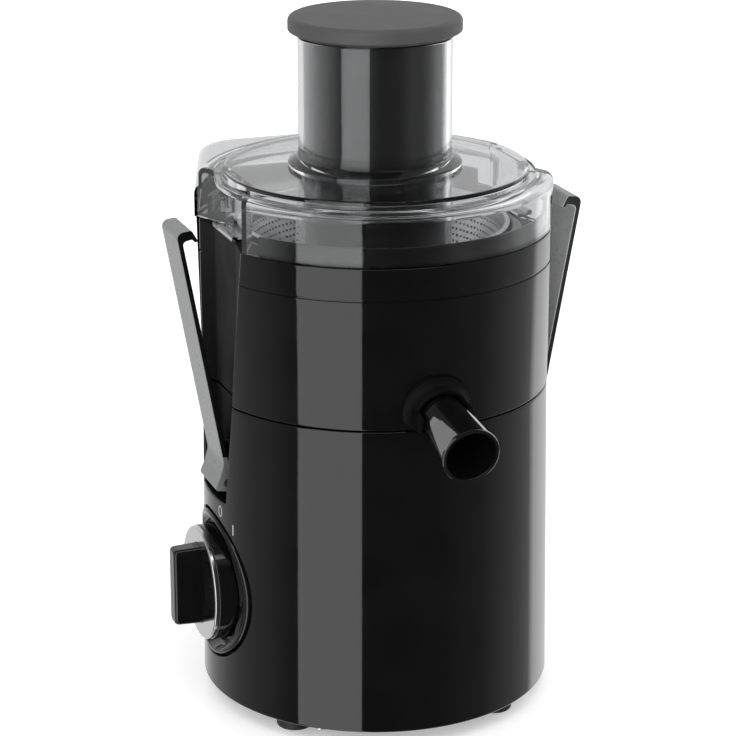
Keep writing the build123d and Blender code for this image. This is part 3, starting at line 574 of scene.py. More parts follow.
def rear_row(d, z, y0, rfront, n=16, rc=25.0):
    """Closed row: rear outline from right front corner round the back to the left, then the concave front arc."""
    o = rear_outline(d, y0, rc)
    pts = rounded(o, 14)
    # cut the sides where they meet the front arc of radius rfront
    def meet(p, q):
        p, q = Vector(p), Vector(q)
        d_ = q - p
        A, B, C = d_.dot(d_), 2 * p.dot(d_), p.dot(p) - rfront * rfront
        s = (-B + sqrt(B * B - 4 * A * C)) / (2 * A)
        return p + d_ * s
    r0 = meet(pts[0], pts[1])
    l0 = meet(pts[-1], pts[-2])
    core = pts[1:-1]
    side_r = [tuple(r0 + (Vector(core[0]) - r0) * i / 8) for i in range(8)]
    side_l = [tuple(Vector(core[-1]) + (l0 - Vector(core[-1])) * i / 8) for i in range(1, 9)]
    a0, a1 = atan2(l0.y, l0.x), atan2(r0.y, r0.x)
    arc = [(rfront * cos(a0 + (a1 - a0) * i / 40), rfront * sin(a0 + (a1 - a0) * i / 40)) for i in range(1, 40)]
    back = []
    for i in range(len(core) - 1):
        back.append(core[i])
        if (Vector(core[i + 1]) - Vector(core[i])).length > 20:
            for j in range(1, 12):
                back.append(tuple(Vector(core[i]).lerp(Vector(core[i + 1]), j / 12)))
    back.append(core[-1])
    return [(x, y, z) for x, y in side_r + back + side_l + arc]


# shelf behind the housing: shell, open below
sh = []
for d, z, rf in ((4.2 + 0.5, Z_BASE, 86.2), (4.2 + 0.15, Z_BASE + 0.15, 86.2), (4.2, Z_BASE + 0.5, 86.2), (4.2, LEDGE_Z - 1.2, 86.2), (4.35, LEDGE_Z - 0.6, 86.2), (4.75, LEDGE_Z - 0.2, 86.2), (5.4, LEDGE_Z, 86.2),
                (9.0, LEDGE_Z, 86.2)):
    sh.append(rear_row(d, z, 30.0, rf))
piece("housing_shelf", closed_grid(sh, wrap=False, cap=True), "base", "black_gloss", sharp=38, cut=[closed_grid([rear_row(6.8, Z_BASE - 3, 30.0, 88.6), rear_row(6.8, LEDGE_Z - 2.4, 30.0, 88.6)], wrap=False, cap=True), cyl((0, 108, 14.6), (0, 135, 14.6), 5.0, 48)])

# ------------------------------------------------------------------ bezel round the knob
bz = []
N = 160
for r, x in ((7.0, -74.6), (7.0, -79.2), (7.3, -79.5), (30.2, -79.5)):
    bz.append((r, x, None))
for i in range(1, 6):
    a = pi / 2 * i / 5
    bz.append((30.2 + 0.5 * sin(a), -79.5 - 0.5 * (1 - cos(a)), None))
prof = bz
rows = [[(x, r * cos(2 * pi * k / N), KNOB_Z + r * sin(2 * pi * k / N)) for k in range(N)] for r, x, _ in prof]


def skin_row(r, dr, lift=0.0):
    row = []
    for k in range(N):
        y, z = r * cos(2 * pi * k / N), KNOB_Z + r * sin(2 * pi * k / N)
        row.append((body_x(y, z, dr) + lift, y, z))
    return row


def dish_x(r):
    """The dish round the knob: a steep step, a narrow ledge, and a flare out to the body's skin."""
    stops = [(30.6, -79.5), (31.0, -82.2), (31.3, -82.7), (32.5, -83.1), (32.8, -83.5), (34.6, -87.5)]
    for (r0, x0), (r1, x1) in zip(stops, stops[1:]):
        if r <= r1:
            return x0 + (x1 - x0) * (r - r0) / (r1 - r0)
    return -87.5


# the dish's cone runs out to r 34.6 or to the skin, whichever comes first
def dish_row(r, dr, f):
    row = []
    for k in range(N):
        y, z = r * cos(2 * pi * k / N), KNOB_Z + r * sin(2 * pi * k / N)
        row.append((min(max(body_x(y, z, dr), dish_x(r)), -79.6), y, z))
    return row


for r in (30.8, 31.0, 31.15, 31.3, 31.9, 32.5, 32.65, 32.8, 33.2, 33.8):
    rows.append(dish_row(r, 0.6, 0))
for r, dr in ((34.3, 0.75), (34.8, 0.9), (35.4, 0.9), (35.9, 0.78), (36.25, 0.5), (36.45, 0.1), (36.5, -0.6)):
    rows.append(skin_row(r, dr))
rows.append([(-74.8, 36.5 * cos(2 * pi * k / N), KNOB_Z + 36.5 * sin(2 * pi * k / N)) for k in range(N)])
rows.append([(-74.6, 36.3 * cos(2 * pi * k / N), KNOB_Z + 36.3 * sin(2 * pi * k / N)) for k in range(N)])
piece("knob_bezel_ring", closed_grid(rows), "base", "black_gloss", ["knob_bezel"], sharp=40)

# printed dial marks on the housing, 0 and 1


def printed(name, loops):
    """Thin print on the housing's skin: strips given as closed loops of (outer, inner) points in (y, z)."""
    verts, faces = [], []
    for outer_, inner_ in loops:
        rows = []
        for pts_, dr in ((outer_, -0.03), (outer_, 0.09), (inner_, 0.09), (inner_, -0.03)):
            rows.append([(body_x(y, z, dr), y, z) for y, z in pts_])
        v, f = closed_grid(rows)
        o = len(verts)
        verts += v
        faces += [tuple(i + o for i in g) for g in f]
    return piece(name, (verts, faces), "base", "seal_grey", wn=False)


def dial_point(phi, r):
    return r * cos(radians(phi)), KNOB_Z + r * sin(radians(phi))


cy_, cz_ = dial_point(107.0, 43.2)
ring_o = [(cy_ + 1.9 * cos(2 * pi * k / 32), cz_ + 2.9 * sin(2 * pi * k / 32)) for k in range(32)]
ring_i = [(cy_ + 1.25 * cos(2 * pi * k / 32), cz_ + 2.25 * sin(2 * pi * k / 32)) for k in range(32)]
printed("housing_dial_mark_0", [(ring_o, ring_i)])
cy_, cz_ = dial_point(125.0, 43.2)
bar_o = [(cy_ + 0.42 * a, cz_ + b) for a, b in ((-1, -2.7), (1, -2.7), (1, 2.7), (-1, 2.7))]
bar_i = [(cy_ + 0.02 * a, cz_ + b) for a, b in ((-1, -2.3), (1, -2.3), (1, 2.3), (-1, 2.3))]
printed("housing_dial_mark_1", [(bar_o, bar_i)])

# ------------------------------------------------------------------ knob: skirt, bar grip, bright disc
v, f = lathe(rounded([(3.02, 5.9), (3.02, -4.0), (7.0, -4.0, 0.4), (7.0, 4.8), (26.1, 4.8), (26.1, 0.0), (27.6, -0.3, 0.3), (28.8, 0.2, 0.6), (28.6, 11.0, 1.0), (0, 11.3)], 4)[:-1] + [(0, 11.3), (0, 5.9)], 128)
piece("knob_skirt", (v, f), "knob", "black_gloss", ["knob"], M=along_x(-79.8, KNOB_Z), sharp=38)
grip = rounded([(5.4, -20.3, 2.2), (5.4, 20.3, 2.2), (-5.4, 20.3, 2.2), (-5.4, -20.3, 2.2)], 6)
rows = []
for h, g in ((0.0, 0.0), (14.2, 0.45), (15.2, 0.62), (15.9, 1.0), (16.3, 1.6), (16.4, 2.4)):
    rows.append([((abs(u) - g) * (1 if u > 0 else -1), (abs(w) - g) * (1 if w > 0 else -1), h) for u, w in grip])
GM = Matrix.Translation((-90.0, 0, KNOB_Z)) @ Matrix(((0, 0, -1, 0), (1, 0, 0, 0), (0, 1, 0, 0), (0, 0, 0, 1)))
piece("knob_grip", closed_grid(rows, wrap=False, cap=True), "knob", "black_gloss", M=GM, sharp=38)
disc = lathe(rounded([(0, 0.9), (KNOB_R, 0.9), (KNOB_R, 2.7, 0.8), (0, 2.9)], 5), 160)
slot_cut = prism(rounded([(5.55, -20.45, 2.2), (5.55, 20.45, 2.2), (-5.55, 20.45, 2.2), (-5.55, -20.45, 2.2)], 6), lambda u, w, h: (-91.8 + h, u, KNOB_Z + w), 6)
piece("knob_face_disc", (disc[0], disc[1]), "knob", "chrome_plate", ["knob_disc"], M=Matrix.Translation((-90.0, 0, KNOB_Z)) @ Matrix(((0, 0, -1, 0), (1, 0, 0, 0), (0, 1, 0, 0), (0, 0, 0, 1))), sharp=38, cut=[slot_cut])


# ------------------------------------------------------------------ juice collector
def collector_rows():
    rows = []
    z0 = Z_SEAM + GAP / 2
    e = 0.8
    for i in range(6):
        a = pi / 2 * i / 5
        rows.append(row_chan(z0 + e * (1 - cos(a)), e * (1 - sin(a)), e * (1 - sin(a))))
    for z in (166, 174, 184, 194, 204, 214, 220):
        rows.append(row_chan(z))
    for z, g in ((223.0, 0), (223.25, 0.08), (223.35, 0.6), (223.5, 0.72), (224.1, 0.72), (224.25, 0.6), (224.35, 0.08), (224.6, 0)):
        rows.append(row_chan(z, g))
    for z in (228, 233, 237):
        rows.append(row_chan(z))
    zt = Z_RIM - GAP / 2
    e = 0.7
    for i in range(6):
        a = pi / 2 * i / 5
        rows.append(row_chan(zt - e * (1 - sin(a)), e * (1 - cos(a)), e * (1 - cos(a))))
    q = quarter(zt, r_at(zt) - e, e)
    for w in (0.1, 0.4, 0.8):
        rows.append(row_mix(q, circle_like(q, 67.4), w, zt))
    for rr, z in ((67.2, zt - 0.05), (66.8, zt - 0.25), (66.6, zt - 0.7), (66.6, 237.0), (66.8, 236.6)):
        rows.append(full(circle_like(q, rr), z))
    zi = 236.6
    qi = quarter(zi, r_at(zi) - 2.6, 2.3, 0.8, 0.6)
    for w in (0.6, 0.2):
        rows.append(row_mix(qi, circle_like(qi, 66.8), w, zi))
    for z in (236.4, 228, 216, 204, 192, 180, 170):
        rows.append(full(quarter(z, r_at(z) - 2.6, 2.3, 0.8, 0.6), z))
    for i in range(5):
        a = pi / 2 * i / 4
        rows.append(full(quarter(168.6, r_at(168.6) - 2.6 - 2.0 * (1 - cos(a)), 2.3 + 2.0 * (1 - cos(a)), 0.8, 0.6), 168.6 - 2.0 * sin(a)))
    q2 = quarter(168.6, r_at(168.6) - 4.6, 4.3, 0.8, 0.6)
    for w in (0.2, 0.5, 0.8):
        rows.append(row_mix(q2, circle_like(q2, 23.0), w, 166.6))
    for rr, z in rounded([(24, 166.6), (20.6, 166.6, 1.2), (20.6, 186.0, 0.7), (18.6, 186.0, 0.5), (18.6, 164.2, 0.3), (24, 164.2)], 4)[1:-1]:
        rows.append(full(circle_like(q2, rr), z))
    qu = quarter(164.2, r_at(164.2) - 2.5, 2.3, 0.8, 0.6)
    for w in (0.7, 0.3):
        rows.append(row_mix(qu, circle_like(qu, 18.6), w, 164.2))
    for z in (164.0, 162.5, 160.95):
        rows.append(full(quarter(z, r_at(z) - 2.5, 2.3, 0.8, 0.6), z))
    return rows


beta = radians(SP_B)
sp_ax = Vector((0, -cos(beta), -sin(beta)))
sp_piv = Vector((0, SP_Y, SP_Z))
SPM = Matrix.Translation(sp_piv) @ Matrix(((1, 0, 0, 0), (0, sin(beta), -cos(beta), 0), (0, -cos(beta), -sin(beta), 0), (0, 0, 0, 1)))   # local Z along the spout, local X is X


def spp(t):
    return tuple(sp_piv + sp_ax * t)


outlet = cyl(spp(-28), spp(20), 4.5, 48)
bowl = piece("collector_bowl", closed_grid(collector_rows()), "collector", "black_gloss", ["juice_collector"], sharp=38, cut=[outlet])
mark_satin(bowl, in_channel)
# inner lip, broken at the clamp channels and open to the back
lip = rounded([(80.3, 238.8), (82.5, 238.8), (82.5, Z_LIP, 0.9), (80.3, Z_LIP, 0.9)], 4)
vfs = [arc_body(lip, -150.5, -29.5, 96), arc_body(lip, 30.5, 40.0, 8), arc_body(lip, 140.0, 149.5, 8)]
piece("collector_inner_lip", joined(*vfs), "collector", "black_gloss", sharp=38)

# outlet cowl: a low collar on the front wall, with two ears that hold the spout's pins
prof = [(11.35, -12.0), (11.35, -3.2), (11.55, -2.7), (11.95, -2.5), (12.9, -2.5), (13.35, -2.65), (13.65, -3.1), (13.85, -4.2), (14.15, -5.6), (14.7, -7.0), (15.7, -8.2), (17.2, -9.0), (17.2, -12.0)]
NS = 96
rows = []
for r, t in prof:
    row = []
    for k in range(NS):
        a = 2 * pi * k / NS
        p = SPM @ Vector((r * cos(a), r * sin(a), t))
        lim = -sqrt(max((r_at(170) - 1.6) ** 2 - p.x * p.x, 0))
        if p.y > lim:                    # stays inside the wall's thickness
            p.y = lim
        if p.z < Z_SEAM + 0.35:
            p.z = Z_SEAM + 0.35
        row.append(tuple(p))
    rows.append(row)
mark_satin(piece("collector_outlet_cowl", closed_grid(rows), "collector", "black_gloss", sharp=60), lambda x, y, z: True)
for s_, nm in ((-1, "left"), (1, "right")):
    ear = [(-9.6, -4.2)] + [(4.2 * cos(radians(a)), 4.2 * sin(radians(a))) for a in range(-90, 91, 10)] + [(-9.6, 4.2)]
    mark_satin(piece("collector_spout_ear_" + nm, prism(ear, lambda u, w, h, s_=s_: tuple(SPM @ Vector((s_ * 12.75 + h, w, u))), 1.25), "collector", "black_gloss", bevel=0.4, sharp=30), lambda x, y, z: True)
nip = lathe(rounded([(4.5, -14.0), (5.8, -14.0), (5.8, 1.5, 0.5), (4.5, 1.5, 0.5)], 4), 64)
piece("collector_outlet_nipple", nip, "collector", "black_gloss", M=SPM, sharp=38)

# ------------------------------------------------------------------ spout
tip_in = SP_R - SP_W + 0.4
prof = [(8.5, -4.0), (9.9, -4.0)]
for i in range(0, 9):
    a = acos(10.03 / SP_R0) * (1 - i / 8)
    prof.append((SP_R0 * cos(a), -SP_R0 * sin(a)))
prof += [(SP_R0, 1.5), (SP_R0 + 0.05, 4.0)]
for i in range(1, 10):
    t = 4.0 + (SP_TIP - 1.2 - 4.0) * i / 9
    prof.append((SP_R0 + (SP_R - SP_R0) * (t - 3.0) / (SP_TIP - 3.0), t))
prof += [(SP_R, SP_TIP - 0.7), (SP_R - 0.12, SP_TIP - 0.3), (SP_R - 0.4, SP_TIP - 0.06), (SP_R - 0.8, SP_TIP), (tip_in + 0.6, SP_TIP), (tip_in + 0.25, SP_TIP - 0.1), (tip_in, SP_TIP - 0.5)]
for i in range(1, 8):
    t = (SP_TIP - 0.5) + (3.0 - SP_TIP + 0.5) * i / 7
    prof.append((8.5 + (tip_in - 8.5) * (t - 3.0) / (SP_TIP - 3.5), t))
prof += [(8.5, -1.0)]


# a flat facet on each upper flank, running out to the mouth's lip
cuts = []
for a in (-150.0, -30.0):
    ca, sa = cos(radians(a)), sin(radians(a))
    f_ = prism([(8.0, 11.25), (32.7, 12.15), (32.7, 20.0), (8.0, 20.0)], lambda u, v, w, ca=ca, sa=sa: (v * ca - w * sa, v * sa + w * ca, u), 12.0)
    cuts.append((f_[0], f_[1], SPM))
spout = piece("spout_tube", lathe(prof, 128), "spout", "black_lacquer", ["spout"], M=SPM, sharp=30, cut=cuts, bevel=0.25)

# ------------------------------------------------------------------ lid: clear shell with raised disc, rear passage, feed tube, lugs and ribs
def lid_recess(t, z0, z1):
    p = [(70.2 - t, -(16.6 + t)), (70.2 - t, 16.6 + t), (79.2 - t, 36.4 + t), (99, 37.5 + t), (99, -(37.5 + t)), (79.2 - t, -(36.4 + t))]
    q = rounded([(p[0][0], p[0][1], 2.0), (p[1][0], p[1][1], 2.0), p[2], p[3], p[4], p[5]], 5)
    out = []
    for s_ in (-1, 1):
        out.append(closed_grid([[(s_ * x, y, z) for x, y in q] for z in (z0, z1)], wrap=False, cap=True))
    return out


def box(x0, x1, y0, y1, z0, z1):
    return closed_grid([[(x0, y0, z), (x1, y0, z), (x1, y1, z), (x0, y1, z)] for z in (z0, z1)], wrap=False, cap=True)


def ext_rows(d, z0, z1, r, y0):
    """The passage to the back: outline pulled in by d, roof edge rounded by r."""
    levels = [(d, z0), (d, z1 - r)] + [(d + r * (1 - cos(pi / 2 * i / 6)), z1 - r + r * sin(pi / 2 * i / 6)) for i in range(1, 7)]
    return closed_grid([[(x, y, z) for x, y in rounded(rear_outline(e, y0), 14)] for e, z in levels], wrap=False, cap=True)


zl0 = Z_RIM + GAP / 2
outer = lathe(rounded([(0, zl0), (R_RIM, zl0, 0.6), (R_RIM, 265.2, 8.2), (77.9, 265.2, 0.4), (77.2, 264.0, 0.4), (74.6, 264.0, 0.4), (74.2, Z_DISC, 1.0), (0, Z_DISC)], 7), 192)
innr = lathe(rounded([(0, zl0 - 3), (R_RIM - 2.4, zl0 - 3), (R_RIM - 2.4, 262.8, 6.0), (77.0, 261.6, 0.8), (74.0, 261.6, 0.8), (72.4, 265.6, 0.8), (0, 265.6)], 6), 192)
lid_ob = bpy.data.objects.new("lid_work", to_mesh("lid_work", *outer))
scene.collection.objects.link(lid_ob)
boolean(lid_ob, ext_rows(0.0, zl0, REAR_TOP, 5.0, 20.0), "UNION")
for v in lid_recess(0.0, Z_RIM - 8, 261.2):            # the channel runs up to the groove round the disc
    boolean(lid_ob, v)
for s_ in (-1, 1):
    q = [(77.8 * cos(radians(a)), 77.8 * sin(radians(a))) for a in range(-18, 19, 3)] + [(79.2, 36.4), (99, 37.5), (99, -37.5), (79.2, -36.4)]
    boolean(lid_ob, closed_grid([[(s_ * x, y, z) for x, y in q] for z in (260.0, 280.0)], wrap=False, cap=True))
hollow = bpy.data.objects.new("lid_hollow", to_mesh("lid_hollow", *innr))
scene.collection.objects.link(hollow)
boolean(hollow, ext_rows(2.2, zl0 - 3, REAR_TOP - 2.2, 3.0, 21.0), "UNION")
for v in lid_recess(2.2, Z_RIM - 12, 284.0):
    boolean(hollow, v)
md = lid_ob.modifiers.new("cut", "BOOLEAN")
md.operation, md.solver, md.object = "DIFFERENCE", "EXACT", hollow
dg = bpy.context.evaluated_depsgraph_get()
dg.update()
lid_me = bpy.data.meshes.new_from_object(lid_ob.evaluated_get(dg))
bpy.data.objects.remove(lid_ob)
bpy.data.objects.remove(hollow)
lid_ob = bpy.data.objects.new("lid_work", lid_me)
scene.collection.objects.link(lid_ob)
boolean(lid_ob, cyl((0, 0, 190), (0, 0, 300), TUBE_R - 0.5, 192))
tube = lathe(rounded([(TUBE_R - TUBE_W, 199.0, 0.6), (TUBE_R, 199.0, 0.6), (TUBE_R, Z_DISC - 0.5), (42.0, Z_DISC - 0.5), (42.0, 270.0, 1.0), (TUBE_R + 0.6, 273.2, 1.6), (TUBE_R, 277.0, 1.0), (TUBE_R, Z_TUBE, 0.8), (TUBE_R - TUBE_W, Z_TUBE, 0.8)], 6), 192)
boolean(lid_ob, tube, "UNION")
for s_ in (-1, 1):
    lug = prism(rounded([(69.6, zl0), (77.6, zl0, 0.4), (77.6, 242.3, 0.6), (74.6, 242.3, 0.6), (74.6, 240.8, 0.3), (69.6, 240.8)], 4), lambda u, v, w, s_=s_: (s_ * u, w, v), 15.6)
    boolean(lid_ob, lug, "UNION")
    for y in (-15.2, 15.2):
        rb = prism(rounded([(72.2, 248.5, 1.5), (69.6, 248.5), (69.6, 262.5), (72.2, 262.5, 1.5)], 5), lambda u, v, w, s_=s_, y=y: (s_ * u, y + w, v), 0.9)
        boolean(lid_ob, rb, "UNION")
lid_me = lid_ob.data
bpy.data.objects.remove(lid_ob)
lid_me.name = "lid_shell"
piece("lid_shell", lid_me, "lid", "clear_plastic", ["lid"], sharp=30)

# ------------------------------------------------------------------ filter sieve: perforated steel cone
NA_, NZ_ = 132, 15
zr = 234.8
verts, faces = [], []


def sieve(a, w, side):
    """Point on the cone: angle, fraction of the slant height, 0 inside or 1 outside."""
    r = 44.45 + (62.0 - 44.4) * w + 0.8 * side
    return (r * cos(a), r * sin(a), 191.85 + (zr - 191.85) * w)


for k in range(NZ_):
    for i in range(NA_):
        a0, da = 2 * pi * (i + 0.5 * (k % 2)) / NA_, 2 * pi / NA_
        w0, dw = k / NZ_, 1.0 / NZ_
        rad = 0.30 * min(44.4 * da, 2.85)
        o = len(verts)
        for side in (0, 1):
            for m_ in range(8):
                t_ = pi / 4 * m_ + pi / 8
                cx, cz = (1 if cos(t_) > 0 else -1), (1 if sin(t_) > 0 else -1)
                if m_ in (0, 3, 4, 7):
                    px, pz = cx * 0.5, cz * 0.5 * 0.414 * 0 + sin(t_) * 0.5 / abs(cos(t_))
                else:
                    px, pz = cos(t_) * 0.5 / abs(sin(t_)), cz * 0.5
                verts.append(sieve(a0 + da * (0.5 + px), w0 + dw * (0.5 + pz), side))
            rm = (44.4 + 17.6 * (w0 + dw / 2))
            for m_ in range(8):
                t_ = pi / 4 * m_ + pi / 8
                verts.append(sieve(a0 + da / 2 + 0.66 * cos(t_) / rm, w0 + dw / 2 + 0.66 * sin(t_) / 46.4, side))
        for m_ in range(8):
            n_ = (m_ + 1) % 8
            faces.append((o + m_, o + 8 + m_, o + 8 + n_, o + n_))
            faces.append((o + 16 + m_, o + 16 + n_, o + 24 + n_, o + 24 + m_))
            faces.append((o + 8 + m_, o + 24 + m_, o + 24 + n_, o + 8 + n_))
        # corners of the cell
        for side in (0, 1):
            for m_, (px, pz) in ((0, (0.5, 0.5)), (2, (-0.5, 0.5)), (4, (-0.5, -0.5)), (6, (0.5, -0.5))):
                verts.append(sieve(a0 + da * (0.5 + px), w0 + dw * (0.5 + pz), side))
                q_ = o + 16 * side
                tri = (len(verts) - 1, q_ + m_, q_ + m_ + 1)
                faces.append(tri if side else tri[::-1])
# plain bands close the sieve's edges at top and bottom
for w_ in (0.0, 1.0):
    o = len(verts)
    for i in range(NA_ * 2):
        a = pi * i / NA_
        verts += [sieve(a, w_, 0), sieve(a, w_, 1)]
    n_ = NA_ * 2
    for i in range(n_):
        j_ = (i + 1) % n_
        faces.append((o + 2 * i, o + 2 * j_, o + 2 * j_ + 1, o + 2 * i + 1))
piece("filter_sieve", (verts, faces), "basket", "steel", ["filter_mesh"], sharp=40, wn=False)

# ------------------------------------------------------------------ pusher
body = rounded([(0, 196.8), (PUSH_R, 196.8, 1.6), (PUSH_R, Z_TUBE + 1.0), (PUSH_R - 2.2, Z_TUBE + 1.0), (PUSH_R - 2.2, 199.2, 1.0), (0, 199.2)], 5)
piece("pusher_cup", lathe(body, 192), "pusher", "smoke_gloss", ["pusher_body"], sharp=38)
cap = rounded([(0, Z_TUBE + 1.1), (CAP_R - 3.0, Z_TUBE + 1.1, 0.4), (CAP_R, Z_CAP + 0.3, 1.0), (CAP_R, Z_TOP - 0.9, 2.6), (0, Z_TOP)], 6)
piece("pusher_cap_moulding", lathe(cap, 224), "pusher", "charcoal_matte", ["pusher_cap"], sharp=50)

# ------------------------------------------------------------------ clamps
for side, node in ((-1, "clamp_left"), (1, "clamp_right")):
    t = radians(CL_TILT)

    def to3(u, v, w, side=side):
        x = CL_PX + u * cos(t) + v * sin(t)
        z = CL_PZ - u * sin(t) + v * cos(t)
        return (side * x, w, z)
    o, i = CL_OUT, CL_OUT - CL_T
    kn = [(CL_R * cos(radians(a)), CL_R * sin(radians(a))) for a in range(-180, 1, 10)]
    prof = rounded([(o, 129.6, 5.0), (-7.6, 129.0, 1.6), (-9.7, 122.9, 0.8), (-7.9, 122.9, 0.6), (-7.2, 124.6, 1.0), (i, 124.6, 2.0), (i, 8.6, 4.0), (-6.75, 3.0)], 6)
    # knuckle round the pin, drawn out into a rounded toe on the outer side
    prof += rounded([(-7.1, 1.5), (-6.2, -3.4, 3.0), (0.4, -4.4, 4.0), (7.6, -2.0, 1.6), (3.3, 4.6, 3.0), (o, 10.5, 8.0), (o, 128.0)], 6)[1:-1]
    hole = cyl(to3(0, 0, -CL_W), to3(0, 0, CL_W), PIN_R + 0.03, 48)
    strap = piece(node + "_strap", prism(prof, to3, CL_W / 2), node, "silver_paint", [node], sharp=30, bevel=0.35, cut=[hole])
    # the narrow edges of the strap, above the knuckle, get the black finish: painted shade standing for the dark studio
    # front that these edges face
    bm = bmesh.new()
    bm.from_mesh(strap.data)
    bmesh.ops.bisect_plane(bm, geom=bm.verts[:] + bm.edges[:] + bm.faces[:], dist=1e-7, plane_co=(0, 0, 132.0 * MM), plane_no=(0, 0, 1))
    bm.normal_update()
    for f in bm.faces:
        if abs(f.normal.y) > 0.9 and f.calc_center_median().z > 132.0 * MM:
            # painted shade: these edge faces are given the black finish because they face the dark front, not because
            # the part is black there
            f.material_index = 1
    bm.to_mesh(strap.data)
    bm.free()
    strap.data.materials.append(MAT["black_satin"])

    # the hinge pin
    rows_ = []
    for r_, w_ in ((0.0005, -20.2), (PIN_R - 0.34, -20.2), (PIN_R - 0.04, -19.9), (PIN_R - 0.04, 19.9), (PIN_R - 0.34, 20.2), (0.0005, 20.2)):
        rows_.append([(side * (CL_PX + r_ * cos(2 * pi * k / 40)), w_, CL_PZ + r_ * sin(2 * pi * k / 40)) for k in range(40)])
    piece(node + "_pin", closed_grid(rows_, wrap=False, cap=True), "base", "black_matte", ["clamp_pivot_pins"], sharp=38)

# interlock plunger with its flange and domed nose, under the left strap
v, f = lathe(rounded([(0, -9.6), (2.3, -9.6, 0.3), (2.3, -4.8), (3.6, -4.8, 0.2), (3.6, -3.8, 0.2), (2.3, -3.8), (2.3, 0.5, 1.1), (0, 0.5)], 5), 48)
piece("interlock_button", (v, f), "interlock", "black_matte", ["interlock_plunger"], M=along_x(-77.0, IL_Z), sharp=38)

# ------------------------------------------------------------------ pulp container: a cup between rear outline and concave front
rows = []
for d, z, rf in ((6.4, RB_Z0, RB_R + 1.8), (5.3, RB_Z0 + 0.5, RB_R + 0.7), (4.7, RB_Z0 + 1.6, RB_R + 0.1)):
    rows.append(rear_row(d, z, 40.0, rf, rc=24))
for i in range(0, 9):
    z = 26 + (RB_Z1 - 0.6 - 26) * i / 8
    rows.append(rear_row(4.6 - 3.9 * (z - RB_Z0) / (RB_Z1 - RB_Z0), z, 40.0, RB_R, rc=24))
rows.append(rear_row(0.9, RB_Z1 - 0.15, 40.0, RB_R + 0.2, rc=24))
rows.append(rear_row(1.3, RB_Z1, 40.0, RB_R + 0.6, rc=24))
rows.append(rear_row(2.4, RB_Z1, 40.0, RB_R + 1.7, rc=24))
rows.append(rear_row(2.9, RB_Z1 - 0.5, 40.0, RB_R + 2.1, rc=24))
for i in range(0, 7):
    z = RB_Z1 - 4 - (RB_Z1 - 4 - 29) * i / 6
    rows.append(rear_row(2.9 + 3.9 * (RB_Z1 - z) / (RB_Z1 - RB_Z0), z, 40.0, RB_R + 2.1, rc=24))
rows.append(rear_row(7.4, 25.6, 40.0, RB_R + 2.9, rc=24))
rows.append(rear_row(8.4, 24.8, 40.0, RB_R + 4.0, rc=24))
cont = piece("pulp_container_shell", closed_grid(rows, wrap=False, cap=True), "pulp_container", "black_gloss", ["pulp_container"], sharp=38)
g = rounded([(24, REAR_Y - 5.6), (20, REAR_Y - 0.2, 3.0), (-20, REAR_Y - 0.2, 3.0), (-24, REAR_Y - 5.6)], 8)
piece("pulp_container_grip", prism(g, lambda u, v, w: (u, v, 207.5 + w), 1.5), "pulp_container", "black_gloss", bevel=0.5)

# ------------------------------------------------------------------ feet
for idx, a in enumerate((217.0, 305.0, 37.0, 125.0)):
    v, f = lathe(rounded([(0, 0.35), (6.0, 0.35, 0.3), (6.6, 0.0, 0.3), (9.0, 0, 1.8), (9.6, Z_BASE), (8.1, Z_BASE), (8.1, Z_BASE + 1.1), (0, Z_BASE + 1.1)], 5), 72)
    c = (72.0 * cos(radians(a)), 72.0 * sin(radians(a)))
    piece("foot_%d" % (idx + 1), ([(x + c[0], y + c[1], z) for x, y, z in v], f), "base", "rubber", ["rubber_feet"], sharp=38)

# ------------------------------------------------------------------ stage
me = bpy.data.meshes.new("floor")
S = 6.0
me.from_pydata([(-S, -S, 0), (S, -S, 0), (S, S, 0), (-S, S, 0)], [], [(0, 1, 2, 3)])
floor = bpy.data.objects.new("floor", me)
scene.collection.objects.link(floor)
fm, ft, fb = new_mat("floor_white")
fb.inputs["Base Color"].default_value = (0.95, 0.95, 0.95, 1)
fb.inputs["Roughness"].default_value = 0.65
fb.inputs["Emission Color"].default_value = (1, 1, 1, 1)
fb.inputs["Emission Strength"].default_value = 0.34
me.materials.append(fm)

world = bpy.data.worlds.new("studio")
scene.world = world
world.use_nodes = True
bg = world.node_tree.nodes["Background"]
bg.inputs["Color"].default_value = (1, 1, 1, 1)
bg.inputs["Strength"].default_value = 1.12


def around(az_from_cam, dist, z):
    """A point round the object: az measured from the camera's side, positive to the camera's left (towards -X)."""
    a = radians(-110.0 - az_from_cam)
    return (dist * cos(a), dist * sin(a), z)


# what the gloss sees: a wall all round, dark in front, with a tall softbox to the camera's left and bright panels behind
WALL_STOPS = [(-180, 0.85), (-165, 0.85), (-156, 1.1), (-150, 1.27), (-143, 1.5), (-131, 1.75), (-127, 1.25), (-123, 0.62), (-112, 0.50), (-95, 0.38), (-74, 0.16), (-45, 0.05), (-8, 0.03), (8.2, 0.03), (8.6, 2.1), (51.0, 2.1), (51.4, 0.08), (60, 0.14), (75, 0.28), (100, 0.42), (125, 0.7), (150, 0.9), (180, 0.85)]


def wall_level(a):
    for (a0, v0), (a1, v1) in zip(WALL_STOPS, WALL_STOPS[1:]):
        if a0 <= a <= a1:
            return v0 + (v1 - v0) * (a - a0) / (a1 - a0)
    return 1.0


def dome_level(az, el):
    """Light level seen in a direction: walls up to 50 degrees, then a grey ceiling with a long narrow lamp over the front."""
    w = wall_level(az)
    k = min(max((el - 42.0) / 14.0, 0.0), 1.0)
    lamp = 2.6 if 60.0 <= el <= 68.0 and -75 <= az <= 75 else 0.0
    return max(w + (0.34 - w) * k * k * (3 - 2 * k), lamp)


